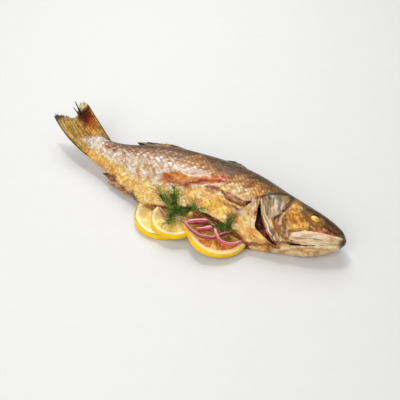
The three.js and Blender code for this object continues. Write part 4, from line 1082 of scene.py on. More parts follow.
def head_tint(tint, along, back, down, a, b, near_a, near_b, share):
    """Lays the head's colours over the body's. The places a and b wander, and near_a and near_b less."""
    head = soft(along, 96, 104)
    below = soft(back + 27 - 0.62 * (along - 119.5), 1.5, -1.5)
    lines = rough(0.08 * along, back - 0.42 * along, 1.5, 1.7)
    mottle = rough(along, down, 2.3, 7.1)
    return tint_layers(
        tint,
        ("8e5c14", head),
        ("6c5432", 0.9 * head * soft(share, 0.22, 0.42)),
        ("3c2a08", 0.92 * head * soft(share, 0.58, 0.82)),
        ("7c5220", 0.85 * soft(a, 135, 141)),
        *coats(a, b, CHEEK_SPOTS),
        ("4c2e08", 0.8 * soft(along + 0.9 * back, 143, 152)),
        ("7a4a10", 0.45 * head * soft(mottle, 0.05, 0.45)),
        ("fcd684", 0.45 * head * soft(mottle, -0.15, -0.5) * soft(share, 0.5, 0.2)),
        *coats(near_a, near_b, SNOUT_SPOTS),
        ("ecd09a", 0.95 * soft(along, 104, 112) * below),
        ("d09850", 0.6 * soft(along, 120, 108) * below),
        ("a87848", 0.6 * below * soft(lines, 0.1, 0.5)),
        ("f6e8c8", 0.5 * below * soft(lines, -0.1, -0.5)),
        ("3e2208", 0.9 * soft(near_a + 0.25 * (near_b + 12), 154.5, 158)),
        *coats(along + 0.4 * (near_a - along), back + 0.4 * (near_b - back), lines=HEAD_LINES),
    )


def store_skin(piece, along, back, tint, net, crisp, silver):
    """Stores what the skin's material reads: its colours, scales, crinkles and shine."""
    rows = scale_rows(along, back)
    flat = np.zeros_like(along)
    store(piece, tint=tint, net=flat + net, crisp=flat + crisp, silver=flat + silver)
    made = piece.data.attributes.new("rows", "FLOAT_VECTOR", "POINT")
    made.data.foreach_set("vector", np.stack([*rows, flat], 1).astype(np.float32).ravel())


def fish_skin(materials):
    """The whole body's skin, opened at the belly, the gills and the mouth."""
    angles = np.concatenate([np.linspace(0, np.pi, SKIN_GRID["upper"], endpoint=False),
                             np.linspace(np.pi, 2 * np.pi, SKIN_GRID["under"], endpoint=False)])
    relief = lambda a, b: skin_relief(a, b) + fine_relief(a, b)
    piece = tube("roast_skin", body_rings(SKIN_GRID, angles, 0, resting, relief), materials)
    lower_lip = [(x - 0.2, y - wide) for (x, y), wide in zip(MOUTH, MOUTH_GAPE)]
    cutters = []
    for side in (1, -1):
        for name, first, second, depths in (
                ("gill_slit", COVER_REAR[1:], GILL_SLIT_REAR, GILL_SLIT_DEPTHS),
                ("mouth_line", MOUTH, lower_lip, MOUTH_DEPTHS)):
            cutters.append(band_cutter(name, first, second, depths, side, materials, 2))
    cutters += hollow(materials, 1)
    cutters += [pressed_disc(dims, materials, 1) for dims in SLICES]
    cut(piece, cutters)
    along, back = fish_places(piece)
    share = section_share(along, back)
    crisp = (0.3 + 0.7 * soft(share, 0.45, 0.1)) * (0.5 + 0.5 * soft(along, 104, 92))
    crisp = crisp * (1 - 0.5 * soft(torn(along, back), 0, 0.3))
    silver = soft(share, 0.5, 0.25) * soft(share, -0.5, -0.1) * soft(along, 30, -10)
    silver = silver * (1 - soft(torn(along, back), 0, 0.2))
    store_skin(piece, along, back, skin_tint(along, back), scale_net(along, back), crisp, silver)
    return piece


# Pieces of the head.

def flank_sheet(name, first, second, rise, depth, side, columns, rows, material):
    """A sheet that follows the flank between two curves, free along the second one. Under the fish it
    ends where the fish rests."""
    one, two = spline(first), spline(second)

    def place(u, v):
        a, b = one(v), two(v)
        at = a + (b - a) * u[..., None]
        along, back = at[..., 0], at[..., 1]
        return lying(along, back, side * (flank(along, back) + rise(u, v, along, back)))
    piece = sheet(name, place, depth, columns, rows, [material])
    if side < 0:
        cut(piece, [mould([material])], "INTERSECT")
    return piece


def gill_cover(name, side, skin):
    """The cover over the gills: thin shining bone in folded skin, its rear edge free."""
    def rise(u, v, along, back):
        base = -1.1 + (COVER_RISE + 0.4) * u ** 0.8
        ribs = 0.5 * np.abs(rough(along, back, 5, 9.1, 0.6)) + 0.26 * np.sin(u * 17 + 3 * v)
        return base + ribs * soft(u, 0, 0.3) - 0.5 * soft(u, 0.93, 1)
    depth = lambda u, v: 1.7 - 1.0 * soft(u, 0.75, 1)
    piece = flank_sheet(name, COVER_FRONT, COVER_REAR, rise, depth, side, 60, 120, skin)
    along, back = fish_places(piece)
    a = along + 1.0 * rough(along, back, 6, 4.2)
    b = back + 1.2 * rough(along, back, 6, 6.2)
    folds = rough(along + 0.5 * back, back, 2.6, 2.2, 0.3)
    tint = tint_layers(
        "b4905c",
        ("7e5428", 0.7 * soft(folds, 0.1, 0.45)), ("f4e0c6", 0.6 * soft(folds, -0.1, -0.45)),
        *coats(a, b, COVER_SPOTS),
        ("5a4630", 0.35 * soft(folds, 0.15, 0.5)), ("fbf0e6", 0.35 * soft(folds, -0.2, -0.5)),
        *coats(a, b, lines=COVER_LINES))
    shine = 0.9 * spot(a, b, (98, -1), (6, 11), 0.4)
    store_skin(piece, along, back, tint, 0.0, 0.35, shine)
    return piece


def gill_membrane(name, side, skin):
    """The thin folded skin under the cover's rear edge."""
    first = [(x + 2.5, y + 0.6) for x, y in COVER_REAR]
    second = [(x - 0.9, y - 0.5) for x, y in COVER_REAR]
    rise = lambda u, v, along, back: (-0.9 + 0.5 * u + 0.28 * np.sin(u * 16)
                                      + 0.25 * rough(along, back, 4, 3.8))
    depth = lambda u, v: 0.9 - 0.5 * u
    piece = flank_sheet(name, first, second, rise, depth, side, 24, 110, skin)
    along, back = fish_places(piece)
    folds = rough(along, back, 3, 5.2, 0.4)
    tint = tint_layers("c09470",
                       ("6a3418", 0.8 * soft(folds, 0.0, 0.4)),
                       ("e4c8ac", 0.5 * soft(folds, -0.1, -0.5)))
    store_skin(piece, along, back, tint, 0.0, 0.4, 0.2)
    return piece


def gill_comb(name, side, share, drop, gills):
    """One gill: a bent band with a filament about every millimetre, seen down in the slit."""
    t = np.linspace(0.12, 0.95, 9)
    front, rear = spline(COVER_REAR[1:])(t), spline(GILL_SLIT_REAR)(t)
    first, second = front + (3.0, 0.5), front + (rear - front) * share
    comb = lambda v: np.cos(2 * np.pi * GILL_FILAMENTS * v)
    rise = lambda u, v, along, back: -drop + 0.35 * comb(v) * soft(u, 0.1, 0.4)
    depth = lambda u, v: 0.9 - 0.5 * u
    return flank_sheet(name, first, second, rise, depth, side, 10, GILL_FILAMENTS * 5 + 1, gills)


def upper_jaw(name, side, skin):
    """The pale bone over the mouth."""
    def rise(u, v, along, back):
        crown = np.sin(np.pi * (0.15 + 0.7 * u)) * (0.45 + 0.55 * v)
        return -0.5 + 1.3 * crown + 0.12 * np.sin(u * 20) + 0.1 * rough(along, back, 4, 3.3)
    depth = lambda u, v: 1.6 - 0.5 * soft(np.abs(u - 0.5), 0.35, 0.5)
    piece = flank_sheet(name, MAXILLA_TOP, MAXILLA_LOW, rise, depth, side, 30, 100, skin)
    along, back = fish_places(piece)
    lines = rough(0.3 * along, back - 0.36 * along, 2.2, 1.7)
    tint = tint_layers(
        "eccda2",
        ("f6e6d2", 0.7 * spot(along, back, (134, -17), (14, 2), 0.7, 0.45)),
        ("4a2810", 0.9 * soft(along - 0.4 * (back + 8), 154.5, 158.5)),
        ("a87850", 0.55 * soft(lines, 0.1, 0.5)),
        ("fbd4b0", 0.8 * stroke(along, back, [(x, y - 0.9) for x, y in MAXILLA_TOP], 0.7)),
        ("8a5228", 0.6 * stroke(along, back, ((119, -23.5), (127, -22), (134, -19), (143, -16.4)), 0.5)),
        ("9a4b26", 0.5 * spot(along, back, (149, -9), (4, 1.2), 0.4, 0.3)),
    )
    store_skin(piece, along, back, tint, 0.0, 0.3, 0.1)
    return piece


def set_in_socket(points, side, depth):
    """Turns points about the eye's middle into the head, as the solid's eye lies."""
    turn = Matrix.Rotation(side * EYE["turn"], 3, "Y")
    turn = turn @ Matrix.Rotation(LIE_ANGLE + (math.pi if side < 0 else 0), 3, "X")
    return points @ np.array(turn).T + lying(*EYE_AT, side * depth)


def eye(name, side, material, skin):
    """A clouded eye, and the skin's low rim round it."""
    out = float(flank(*EYE_AT))
    theta, phi = np.meshgrid(np.linspace(0.03, np.pi - 0.03, 24),
                             np.linspace(0, 2 * np.pi, 48, endpoint=False), indexing="ij")
    ball = np.stack([EYE["radius"] * np.sin(theta) * np.cos(phi),
                     EYE["radius"] * EYE["flat"] * np.sin(theta) * np.sin(phi),
                     (EYE["rise"] + 2) * np.cos(theta)], -1)
    piece = tube(name, set_in_socket(ball, side, out - 2), [material])
    x, y, _ = with_ends(ball).T
    reach = np.hypot(x / EYE["radius"], y / EYE["radius"] / EYE["flat"])
    store(piece, tint=tint_layers(
        "f4b830",
        ("b8821e", 0.7 * soft(reach, 0.66, 0.98)),
        ("f8d878", 0.8 * spot(x, y, (-0.8, 0.6), (2.2, 1.2))),
        ("a8702c", 0.6 * spot(x, y, (1.4, -0.6), (1.5, 1.0)))))
    around, along = np.meshgrid(np.linspace(0, 2 * np.pi, 16, endpoint=False),
                                np.linspace(0, 2 * np.pi, 64, endpoint=False), indexing="ij")
    lid = EYE["rim"] + EYE["rim_tube"] * np.cos(around) * (1 + 0.2 * np.sin(3 * along))
    ring = np.stack([lid * np.cos(along), EYE["rim_flat"] * lid * np.sin(along),
                     EYE["rim_tube"] * np.sin(around)], -1)
    points = set_in_socket(ring, side, out - 1.15)
    faces = grid_faces(*points.shape[:2], wrap_rows=True, wrap_columns=True)
    rim = closed_piece(name + "_lid", points.reshape(-1, 3), faces, [skin])
    along, back = fish_places(rim)
    wander = rough(along, back, 4, 2.2)
    store_skin(rim, along, back, tint_layers(
        "a87c2c",
        ("705018", 0.7 * soft(wander, -0.2, 0.4)),
        ("3a2810", 0.9 * soft(back, EYE_AT[1] + 1.8, EYE_AT[1] + 3.4)),
        ("d0a040", 0.5 * soft(back, EYE_AT[1] - 2.4, EYE_AT[1] - 4.0))), 0.0, 0.4, 0.0)
    return [piece, rim]


# Fins.

def fin(name, roots, tips, rays, height, material, seed, columns, bow=0.0, thick=1.7, ragged=0.12,
        split=0.1):
    """A fin: rays from roots to tips and skin between them. ragged shortens rays by chance, and split
    opens the skin between them at the edge."""
    root, tip = spline(roots), spline(tips)
    rows = rays * RAY_STEPS + 1
    across = np.linspace(0, 1, rows)
    on_ray = 0.5 + 0.5 * np.cos(2 * np.pi * rays * across)
    half = RAY_STEPS // 2
    each = np.repeat(rough(np.arange(rays + 1) * 7.0, 0, 3, seed), RAY_STEPS)[half:half + rows]
    lengths = 1 - ragged * (0.5 + 0.5 * each) - split * (1 - on_ray)

    def place(u, v):
        share = u * np.interp(v, across, lengths)
        a, b = root(v), tip(v)
        bulge = bow * 4 * share * (1 - share) * (1 - v) ** 2
        along = a[..., 0] + (b - a)[..., 0] * share - bulge * 0.45
        back = a[..., 1] + (b - a)[..., 1] * share - bulge * 0.9
        ripple = 0.5 * u * np.sin(2 * np.pi * v * rays / 5 + seed)
        return lying(along, back, height(u, v) + ripple + 0.2 * rib(v))
    rib = lambda v: 0.5 + 0.5 * np.cos(2 * np.pi * rays * v)
    depth = lambda u, v: thick * (1 - 0.7 * u ** 0.7) * (0.5 + 0.5 * rib(v)) + 0.12
    piece = sheet(name, place, depth, columns, rows, [material])
    u, v = surface_uv(piece)
    return piece, u, v, rib(v)


def tail_fin(material):
    """The tail fin, scorched at its upper tip, and two loose spikes in its fork."""
    wave = lambda u, v: 1.6 * u * np.sin(5 * v + 0.6) + 1.5 * u * u + 2.6 * u ** 3 * soft(v, 0.5, 0.9)
    piece, u, v, rib = fin("tail_fin", TAIL_ROOTS, TAIL_TIPS, 30, wave, material, 11, 70, bow=TAIL_BOW,
                           thick=2.2, ragged=0.05, split=0.03)
    along, back = fish_places(piece)
    a = along + 2.2 * rough(along, back, 9, 5.1) + 1.0 * rough(along, back, 2.5, 5.9)
    b = back + 1.6 * rough(along, back, 6, 6.1)
    plain = soft(along, -98, -108) * (1 - 0.75 * spot(a, b, (-125, 35), (13, 11), 0.5, -0.6))
    plain = plain * (1 - spot(a, b, (-152, 26), (11, 7), 0.5, -0.2))
    streaks = rough(30 * v, 2.5 * u, 1, 4.9) * plain
    tint = tint_layers("ba944a", *coats(a, b, TAIL_SPOTS),
                       ("6c5224", 0.45 * soft(streaks, 0.05, 0.4)),
                       ("f0d8a0", 0.35 * soft(streaks, -0.1, -0.45)),
                       ("140e08", 0.95 * soft(v, 0.945, 0.98)),
                       ("3a2410", 0.85 * soft(v, 0.05, 0.015)))
    store(piece, tint=tint, rays=rib)
    pieces = [piece]
    for i, (low_root, high_root, low_tip, high_tip) in enumerate(TAIL_SPIKES):
        spike, u, v, rib = fin("tail_spike_%d" % i, (low_root, high_root), (low_tip, high_tip), 1,
                               lambda u, v: 3.4 + 0.8 * u, material, 3 + i, 30, thick=1.1)
        store(spike, tint=np.tile(linear("22180c"), (len(u), 1)), rays=rib)
        pieces.append(spike)
    return pieces


def folded_fin(name, dims, line, way, height, material):
    """A low fin folded back along the ridge, its rear tip free."""
    roots, tips = [], []
    for share in np.linspace(0, 1, 9):
        along = dims["start"] + (dims["end"] - dims["start"]) * share
        tall = dims["height"] * (0.25 + 0.75 * math.sin(math.pi * (0.12 + 0.72 * share)))
        roots.append((along, float(line(along)) - way * FIN_SUNK))
        back_by = dims["sweep"][0] * (1 - share) + dims["sweep"][1] * share
        tips.append((along - back_by, float(line(along - 4)) + way * tall))
    piece, u, v, rib = fin(name, roots, tips, dims["rays"], height, material, dims["seed"], 34,
                           ragged=dims["ragged"], split=dims["split"])
    along, back = fish_places(piece)
    wander = 0.2 * rough(along, back, 5, dims["seed"])
    streaks = rough(12 * v, 2 * u, 1, dims["seed"] + 0.4)
    flesh, edge, root = dims["colours"]
    store(piece, rays=0.25 + 0.5 * rib, tint=tint_layers(
        flesh,
        (root, 0.9 * soft(u + wander, 0.5, 0.25)),
        (edge, 0.85 * soft(u + wander, 0.75, 0.95)),
        (dims["rear"], 0.85 * soft(v + 0.3 * wander, 0.5, 0.75)),
        (root, 0.6 * soft(streaks, 0.05, 0.4)),
        ("f0dcc0", 0.25 * soft(streaks, -0.15, -0.5)),
        ("1e160c", 0.9 * soft(v, 0.90, 0.97) * soft(u, 0.3, 0.5))))
    return piece


def pectoral_fin(material):
    """The fin behind the gills, shrivelled and stuck to the flank."""
    def rise(u, v, along, back):
        ridge = 0.35 + 0.9 * np.sin(np.pi * np.clip(u, 0, 1)) * (1 - 0.5 * v)
        folds = 0.5 * np.sin(3.2 * np.pi * u + 2.2 * v) + 0.3 * np.sin(15 * np.pi * u + 2 * v)
        stuck = 1.1 * soft(u, 0.14, 0.0)
        return ridge + folds * soft(v, 0.0, 0.25) * 0.8 + 0.5 * rough(along, back, 6, 2.1) - stuck
    depth = lambda u, v: 1.3 - 0.7 * v + 0 * u
    ragged = [(x + 1.2 * math.sin(2.3 * i), y + 0.5 * math.cos(3 * i))
              for i, (x, y) in enumerate(PECTORAL_LOW)]
    piece = flank_sheet("pectoral_fin", PECTORAL_TOP, ragged, rise, depth, 1, 60, 72, material)
    u = surface_uv(piece)[0]
    along, back = fish_places(piece)
    wander = rough(0.18 * along, back + 0.12 * along, 1.1, 3.9)
    store(piece, rays=0.5 + 0.5 * np.sin(15 * np.pi * u), tint=tint_layers(
        "ac7650",
        ("6a3c22", 0.85 * soft(wander, 0.0, 0.35)),
        ("e6bc9c", 0.7 * soft(wander, -0.1, -0.45)),
        ("a8907c", 0.6 * soft(u, 0.5, 0.2) * soft(along, 54, 62)),
        ("8c4a26", 0.65 * soft(u, 0.5, 0.8) * soft(along, 72, 64)),
        ("e0a482", 0.6 * spot(along, back, (56, -7.6), (6, 1.4))),
        ("c89078", 0.5 * spot(along, back, (60, -10.5), (9, 2.4), 0.8, -0.1)),
        ("62662c", 0.85 * soft(along, 52.5, 49)),
        ("3c2c1c", 0.85 * soft(along + 0.6 * wander, 70.5, 75))))
    return piece


# Lemon, onion and dill.

def lemon_ring(angle, reach, height):
    """A ring of points round a slice's middle."""
    return np.stack([reach * np.cos(angle), reach * np.sin(angle), np.broadcast_to(height, angle.shape)], -1)


def lemon_flesh(angle, share):
    """1 in a segment's flesh, and 0 on a membrane, in the core and in the pith."""
    spoke = np.abs((angle * SLICE_SEGMENTS / (2 * np.pi) + 0.5) % 1 - 0.5)
    wide = 0.028 / np.maximum(share, 0.15)
    rounded = soft(share, 0.835, 0.805 - 0.05 * soft(spoke, 0.16, 0.05))
    return soft(share, 0.08, 0.14) * rounded * (1 - soft(spoke, wide * 1.5, wide * 0.5))


def lemon_slice(dims, material):
    """A slice as rings of points, with segments of flesh sunk between raised membranes."""
    half, radius = SLICE_THICKNESS / 2, dims["radius"]
    angle = np.linspace(0, 2 * np.pi, 180, endpoint=False)
    face = np.concatenate([[0.02], np.linspace(0.06, 0.84, 34), [0.86, 0.875, 0.89, 0.91, 0.93, 0.95]])
    rim = [(0.965, 1.0), (0.98, 0.95), (0.992, 0.82), (1.0, 0.6), (1.004, 0.3), (1.005, 0.0)]
    slow, quick = SLICE_UNEVEN
    uneven = 1 + slow * np.sin(2 * angle + dims["turn"]) + quick * np.sin(5 * angle)
    rings = []
    for share in face:
        pulp = 0.16 * rough(angle * share * 22, share * 9 + 0 * angle, 1, dims["turn"] * 9)
        sunk = lemon_flesh(angle, share) * (0.6 - pulp)
        rings.append(lemon_ring(angle, share * radius * uneven, half - 0.1 - sunk))
    rings += [lemon_ring(angle, share * radius * uneven, high * half) for share, high in rim]
    lower = [ring * np.array((1, 1, -1)) for ring in reversed(rings[:-1])]
    local = np.stack(rings + lower)
    turn = np.array(Matrix.Rotation(dims["turn"], 3, "Z"))
    piece = tube(dims["name"] + "_cut", leaning(local @ turn.T, dims, half), [material],
                 uv=np.stack([np.broadcast_to(angle / (2 * np.pi), local.shape[:2]),
                              np.hypot(local[..., 0], local[..., 1]) / radius], -1))
    x, y, _ = with_ends(local).T
    reach = np.hypot(x, y) / radius
    flesh = lemon_flesh(np.arctan2(y, x) % (2 * np.pi), reach)
    peel, roasted = soft(reach, 0.945, 0.965), dims["roasted"]
    brown = roasted * soft(rough(x, y, 13, 3.3) + 0.6 * roasted, -0.1, 0.45)
    along, back = fish_places(piece)
    # Brown on the part of a slice under the belly flap is juice that browned there, and painted shade from
    # the flap over it.
    inside = soft(back - flap_edge(along), -15, -6) * soft(along, 78, 66)
    inside = inside * (0.3 + 0.6 * roasted)
    tint = tint_layers(
        "faeab0",
        ("f0d66c", flesh),
        ("f8da90", 0.8 * roasted * (1 - flesh) * (1 - peel)),
        ("dc8430", 0.85 * brown * (0.4 + 0.6 * flesh) * soft(reach, 0.86, 0.8)),
        ("9c4614", 0.6 * brown * flesh * soft(rough(x, y, 5, 6.1), 0.1, 0.6)),
        ("e8a04c", 0.4 * brown * (1 - flesh) * (1 - peel) * soft(reach, 0.88, 0.78)),
        ("ffd800", peel),
        ("f6b400", 0.45 * peel * soft(rough(x, y, 9, 1.1), 0, 0.6)),
        ("3a2a10", dims["scorched"] * soft(np.abs(reach - 0.952), 0.016, 0.006)
         * soft(rough(x, y, 14, 2.3), -0.35, 0.0)),
        ("6e3c12", inside * soft(rough(along, back, 7, 1.5), -0.9, 0.1)),
    )
    store(piece, tint=tint, wet=flesh * (0.45 + 0.5 * roasted), peel=peel)
    return piece


def even_steps(points, count):
    """Places at even distances along a smooth line, and the line's direction there."""
    curve, dense = spline(points), np.linspace(0, 1, 400)
    run = np.concatenate([[0], np.cumsum(np.linalg.norm(np.diff(curve(dense), axis=0), axis=1))])
    t = np.interp(np.linspace(0, run[-1], count), run, dense)
    way = curve(np.minimum(t + 1e-3, 1)) - curve(np.maximum(t - 1e-3, 0))
    return curve(t), way / np.linalg.norm(way, axis=1)[:, None]


def onion_piece(dims, material):
    """A strip of onion: a bent band with a flattened, slightly lobed section and rounded ends."""
    middle, way = even_steps(dims["line"], ONION_STEPS)
    share = np.linspace(0, 1, ONION_STEPS)
    end = np.minimum(1, np.sqrt(np.minimum(share, 1 - share) * 10 + 0.12))
    a, b, c = dims["wide"]
    wide = (a * (1 - share) ** 2 + 2 * b * share * (1 - share) + c * share ** 2) * end
    across = np.cross((0, 0, 1), way)
    across /= np.linalg.norm(across, axis=1)[:, None]
    angle = np.linspace(0, 2 * np.pi, ONION_SIDES, endpoint=False)
    lobed = 1 - 0.10 * np.abs(np.cos(angle * 1.5 + 0.4)) * (0.6 + 0.4 * np.sin(9 * share))[:, None]
    boxy = lambda value: np.sign(value) * np.abs(value) ** 0.65
    sideways = wide[:, None] * lobed * boxy(np.cos(angle))
    upwards = dims["high"] * end[:, None] * lobed * boxy(np.sin(angle))
    rings = middle[:, None] + across[:, None] * sideways[..., None] + np.array((0, 0, 1)) * upwards[..., None]
    run, turned = np.meshgrid(share, angle, indexing="ij")
    piece = tube(dims["name"] + "_cut", rings, [material], uv=np.stack([run, turned / (2 * np.pi)], -1))
    turned = np.append(turned, [0, 0])
    run = np.append(run, [0, 1])
    outer = soft(np.cos(turned), 0.3, -0.5)
    wander = rough(run * 12, turned * 1.2, 4, 2.0)
    layers = np.sin(6 * turned + 0.9 * wander + 2 * run)
    flesh, skin, deep = dims["colours"]
    store(piece, tint=tint_layers(
        flesh,
        (skin, 0.9 * outer),
        (deep, 0.8 * outer * soft(wander, -0.1, 0.5)),
        (skin, 0.5 * soft(wander, 0.1, 0.7)),
        (deep, 0.6 * soft(layers, 0.3, 0.9)),
        ("fbd0cc", 0.4 * soft(layers, -0.5, -0.95)),
        # A pale band along the top of each piece is a painted highlight.
        ("f6b4b4", 0.6 * soft(np.sin(turned + 0.3 * wander), 0.78, 1.0)),
        ("f4b0a8", 0.6 * soft(np.minimum(run, 1 - run), 0.05, 0.0))))
    return piece


def dill_sprig(dims, material, tree):
    """Stems that carry side fronds of fine threads, grown along the stems by Geometry Nodes."""
    points, edges = [], []
    for line in dims["stems"]:
        middle, _ = even_steps(line, 24)
        base = len(points)
        points += list(middle)
        edges += [(base + i, base + i + 1) for i in range(len(middle) - 1)]
    data = bpy.data.meshes.new(dims["name"] + "_stems")
    data.from_pydata([tuple(p) for p in world(points)], edges, [])
    piece = add_object(dims["name"] + "_fronds", data)
    grown = piece.modifiers.new("fronds", "NODES")
    grown.node_group = tree
    values = {"Seed": dims["seed"], "Leaf": material}
    for socket in tree.interface.items_tree:
        if socket.in_out == "INPUT" and socket.name in values:
            grown[socket.identifier] = values[socket.name]
    replace_mesh(piece)
    piece.data.materials.clear()
    piece.data.materials.append(material)
    shade(piece.data)
    return piece


def dill_thread(tree, given):
    """One thread, bent and thinner at its tip."""
    bend = node(tree, "VectorMath", {0: (0.14, 0.0, 0.5), "Scale": given["Thread length"]}, operation="SCALE")
    end = node(tree, "VectorMath", {0: (0.0, 0.0, 1.0), "Scale": given["Thread length"]}, operation="SCALE")
    hair = node(tree, "GeometryNodeCurveQuadraticBezier",
                {"Resolution": 4, "Start": (0, 0, 0), "Middle": bend, "End": end})
    taper = node(tree, "Math", {0: node(tree, "GeometryNodeSplineParameter"), 1: -0.6, 2: 1.0},
                 operation="MULTIPLY_ADD")
    return node(tree, "GeometryNodeSetCurveRadius", {"Curve": hair, "Radius": taper})


def dill_frond(tree, given):
    """One frond: a twig with threads to both sides."""
    hair = dill_thread(tree, given)
    sway = node(tree, "VectorMath", {0: (0.0, 0.2, 0.5), "Scale": given["Frond length"]}, operation="SCALE")
    tip = node(tree, "VectorMath", {0: (0.0, 0.0, 1.0), "Scale": given["Frond length"]}, operation="SCALE")
    twig = node(tree, "GeometryNodeCurveQuadraticBezier",
                {"Resolution": 8, "Start": (0, 0, 0), "Middle": sway, "End": tip})
    spots = node(tree, "GeometryNodeCurveToPoints", {"Curve": twig, "Count": 9}, "Points", mode="COUNT")
    odd = node(tree, "Math", {0: node(tree, "GeometryNodeInputIndex"), 1: 2.0}, operation="MODULO")
    lean = node(tree, "MapRange", {0: odd, 3: -0.62, 4: 0.62})
    nod = node(tree, "FunctionNodeRandomValue", {2: -0.45, 3: 0.45, "Seed": 3}, 1, data_type="FLOAT")
    way = node(tree, "CombineXYZ", {0: nod, 1: lean})
    short = node(tree, "FunctionNodeRandomValue", {2: 0.6, 3: 1.1, "Seed": 5}, 1, data_type="FLOAT")
    hairs = node(tree, "GeometryNodeInstanceOnPoints", {
        "Points": spots, "Instance": hair, "Scale": short,
        "Rotation": node(tree, "FunctionNodeEulerToRotation", {0: way})})
    frond = node(tree, "GeometryNodeJoinGeometry")
    for part in (hairs, node(tree, "GeometryNodeSetCurveRadius", {"Curve": twig, "Radius": 1.2})):
        tree.links.new(part, frond.node.inputs[0])
    return frond


def dill_tree():
    """Grows side fronds along stems. Each frond is a bent twig with threads on both sides."""
    tree = bpy.data.node_groups.new("dill_fronds", "GeometryNodeTree")
    face = tree.interface
    face.new_socket("Stems", in_out="INPUT", socket_type="NodeSocketGeometry")
    for name, size in DILL_SIZES.items():
        face.new_socket(name, in_out="INPUT", socket_type="NodeSocketFloat").default_value = size
    face.new_socket("Seed", in_out="INPUT", socket_type="NodeSocketInt").default_value = 1
    face.new_socket("Leaf", in_out="INPUT", socket_type="NodeSocketMaterial")
    face.new_socket("Sprig", in_out="OUTPUT", socket_type="NodeSocketGeometry")
    given = tree.nodes.new("NodeGroupInput").outputs
    frond = dill_frond(tree, given)

    # Fronds all round each stem, leaning towards its end.
    stems = node(tree, "GeometryNodeMeshToCurve", {"Mesh": given["Stems"]})
    places = node(tree, "GeometryNodeCurveToPoints", {"Curve": stems, "Length": given["Frond gap"]},
                  mode="LENGTH").node.outputs
    spin = node(tree, "FunctionNodeRandomValue",
                {0: (-1.0, -1.0, -0.3), 1: (1.0, 1.0, 1.2), "Seed": given["Seed"]}, data_type="FLOAT_VECTOR")
    aim = node(tree, "VectorMath", {0: places["Tangent"], 1: (0.75, 0.75, 0.75), 2: spin},
               operation="MULTIPLY_ADD")
    size_seed = node(tree, "Math", {0: given["Seed"], 1: 7.0}, operation="ADD")
    grown = node(tree, "FunctionNodeRandomValue", {2: 0.5, 3: 1.05, "Seed": size_seed}, 1, data_type="FLOAT")
    fronds = node(tree, "GeometryNodeInstanceOnPoints", {
        "Points": places["Points"], "Instance": frond, "Scale": grown,
        "Rotation": node(tree, "FunctionNodeAlignRotationToVector", {"Vector": aim}, axis="Z")})
    joined = node(tree, "GeometryNodeJoinGeometry")
    for part, sides, radius in (
            (node(tree, "GeometryNodeRealizeInstances", {0: fronds}), 4, given["Thread radius"]),
            (stems, 6, given["Stem radius"])):
        profile = node(tree, "GeometryNodeCurvePrimitiveCircle", {"Resolution": sides, "Radius": radius})
        made = node(tree, "GeometryNodeCurveToMesh",
                    {"Curve": part, "Profile Curve": profile, "Fill Caps": True})
        tree.links.new(made, joined.node.inputs[0])
    done = node(tree, "GeometryNodeRealizeInstances", {0: joined})
    done = node(tree, "GeometryNodeSetMaterial", {"Geometry": done, "Material": given["Leaf"]})
    node(tree, "NodeGroupOutput", {"Sprig": done})
    return tree


# The scene.

def settle(piece, solid):
    """Puts a piece on the one body, in the place of a solid."""
    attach(piece, "root")
    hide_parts(solid)


def set_camera():
    """The photograph's view, from the head's side and above."""
    azimuth, elevation = math.radians(CAMERA["azimuth"]), math.radians(CAMERA["elevation"])
    back = Vector((math.sin(azimuth) * math.cos(elevation), -math.cos(azimuth) * math.cos(elevation),
                   math.sin(elevation)))
    right = Vector((math.cos(azimuth), math.sin(azimuth), 0))
    up = back.cross(right)
    data = bpy.data.cameras.new("camera")
    data.sensor_width, data.lens = CAMERA["sensor"], CAMERA["lens"]
    data.clip_start = 0.01
    camera = add_object("camera", data)
    camera.matrix_world = Matrix((right, up, back)).transposed().to_4x4()
    camera.location = Vector(world(CAMERA["target"])) + back * CAMERA["distance"]
    bpy.context.scene.camera = camera


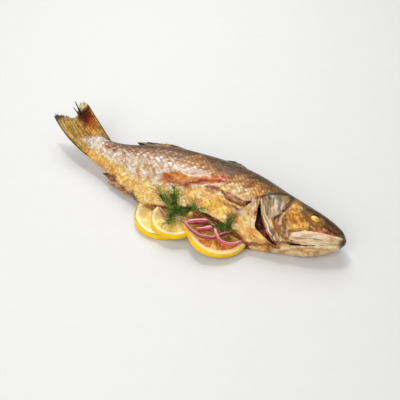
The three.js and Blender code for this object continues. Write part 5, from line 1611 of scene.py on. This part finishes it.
def set_studio():
    """A white room with a table, square lamps turned to its middle: a broad one and a small bright one
    behind the fish, and one before it."""
    data = bpy.data.worlds.new("studio")
    bpy.context.scene.world = data
    data.use_nodes = True
    data.node_tree.nodes["Background"].inputs[0].default_value = (1, 1, 1, 1)
    data.node_tree.nodes["Background"].inputs[1].default_value = ROOM_LIGHT
    for name, at, size, power in LAMPS:
        data = bpy.data.lights.new(name, "AREA")
        data.shape, data.size, data.energy = "SQUARE", size, power
        lamp = add_object(name, data)
        lamp.location = at
        lamp.rotation_euler = (-Vector(at)).to_track_quat("-Z", "Y").to_euler()
    floor = bpy.data.meshes.new("table")
    square = np.array(((-1, -1, 0), (1, -1, 0), (1, 1, 0), (-1, 1, 0))) * TABLE_REACH
    floor.from_pydata(square.tolist(), [], [(0, 1, 2, 3)])
    floor.materials.append(new_material("table_laminate_matt_white", white_table))
    add_object("table", floor)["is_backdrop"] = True


def dress_fish():
    """Every piece that stands for the fish."""
    skin = new_material("fish_skin_roast_oiled", roast_skin)
    lining = new_material("belly_lining_roasted", cooked_flesh)
    gills = new_material("gill_filaments_crimson", gill_flesh)
    eyeball = new_material("eye_cooked_clouded", cooked_eye)
    fins = new_material("fin_skin_on_rays_roast", fin_membrane)
    pieces = [fish_skin([skin, lining, gills])]
    for side, end in ((1, ""), (-1, "_under")):
        pieces += [gill_cover("gill_cover" + end, side, skin),
                   gill_membrane("gill_membrane" + end, side, skin),
                   upper_jaw("upper_jaw" + end, side, skin), *eye("eye" + end, side, eyeball, skin)]
        pieces += [gill_comb("gill_comb_%d%s" % (i, end), side, share, drop, gills)
                   for i, (share, drop) in enumerate(GILL_COMBS)]
    standing = lambda u, v: 1.5 * u
    drooping = lambda u, v: -2.4 * u + 0.8 * np.sin(7 * v)
    pieces += tail_fin(fins)
    pieces += [folded_fin("soft_dorsal_fin", SOFT_DORSAL, back_line, 1, standing, fins),
               folded_fin("spiny_dorsal_fin", SPINY_DORSAL, back_line, 1, standing, fins),
               folded_fin("anal_fin", ANAL_FIN, lambda a: belly_line(a - 11), -1, drooping, fins),
               pectoral_fin(fins)]
    return pieces


bpy.context.scene.view_settings.view_transform = "Standard"
set_camera()
set_studio()

for piece in dress_fish():
    settle(piece, "fish")
lemon = new_material("lemon_peel_pith_flesh", lemon_cut)
for dims in SLICES:
    settle(lemon_slice(dims, lemon), dims["name"])
onion = new_material("red_onion_oiled", onion_flesh)
for dims in ONIONS:
    settle(onion_piece(dims, onion), dims["name"])
dill, fronds = new_material("dill_leaf_fresh", dill_leaf), dill_tree()
for dims in DILLS:
    settle(dill_sprig(dims, dill, fronds), dims["name"])

plain = lambda box: [[float(x) for x in corner] for corner in box]
{"cad": plain(cad_box), "visual": plain(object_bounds())}
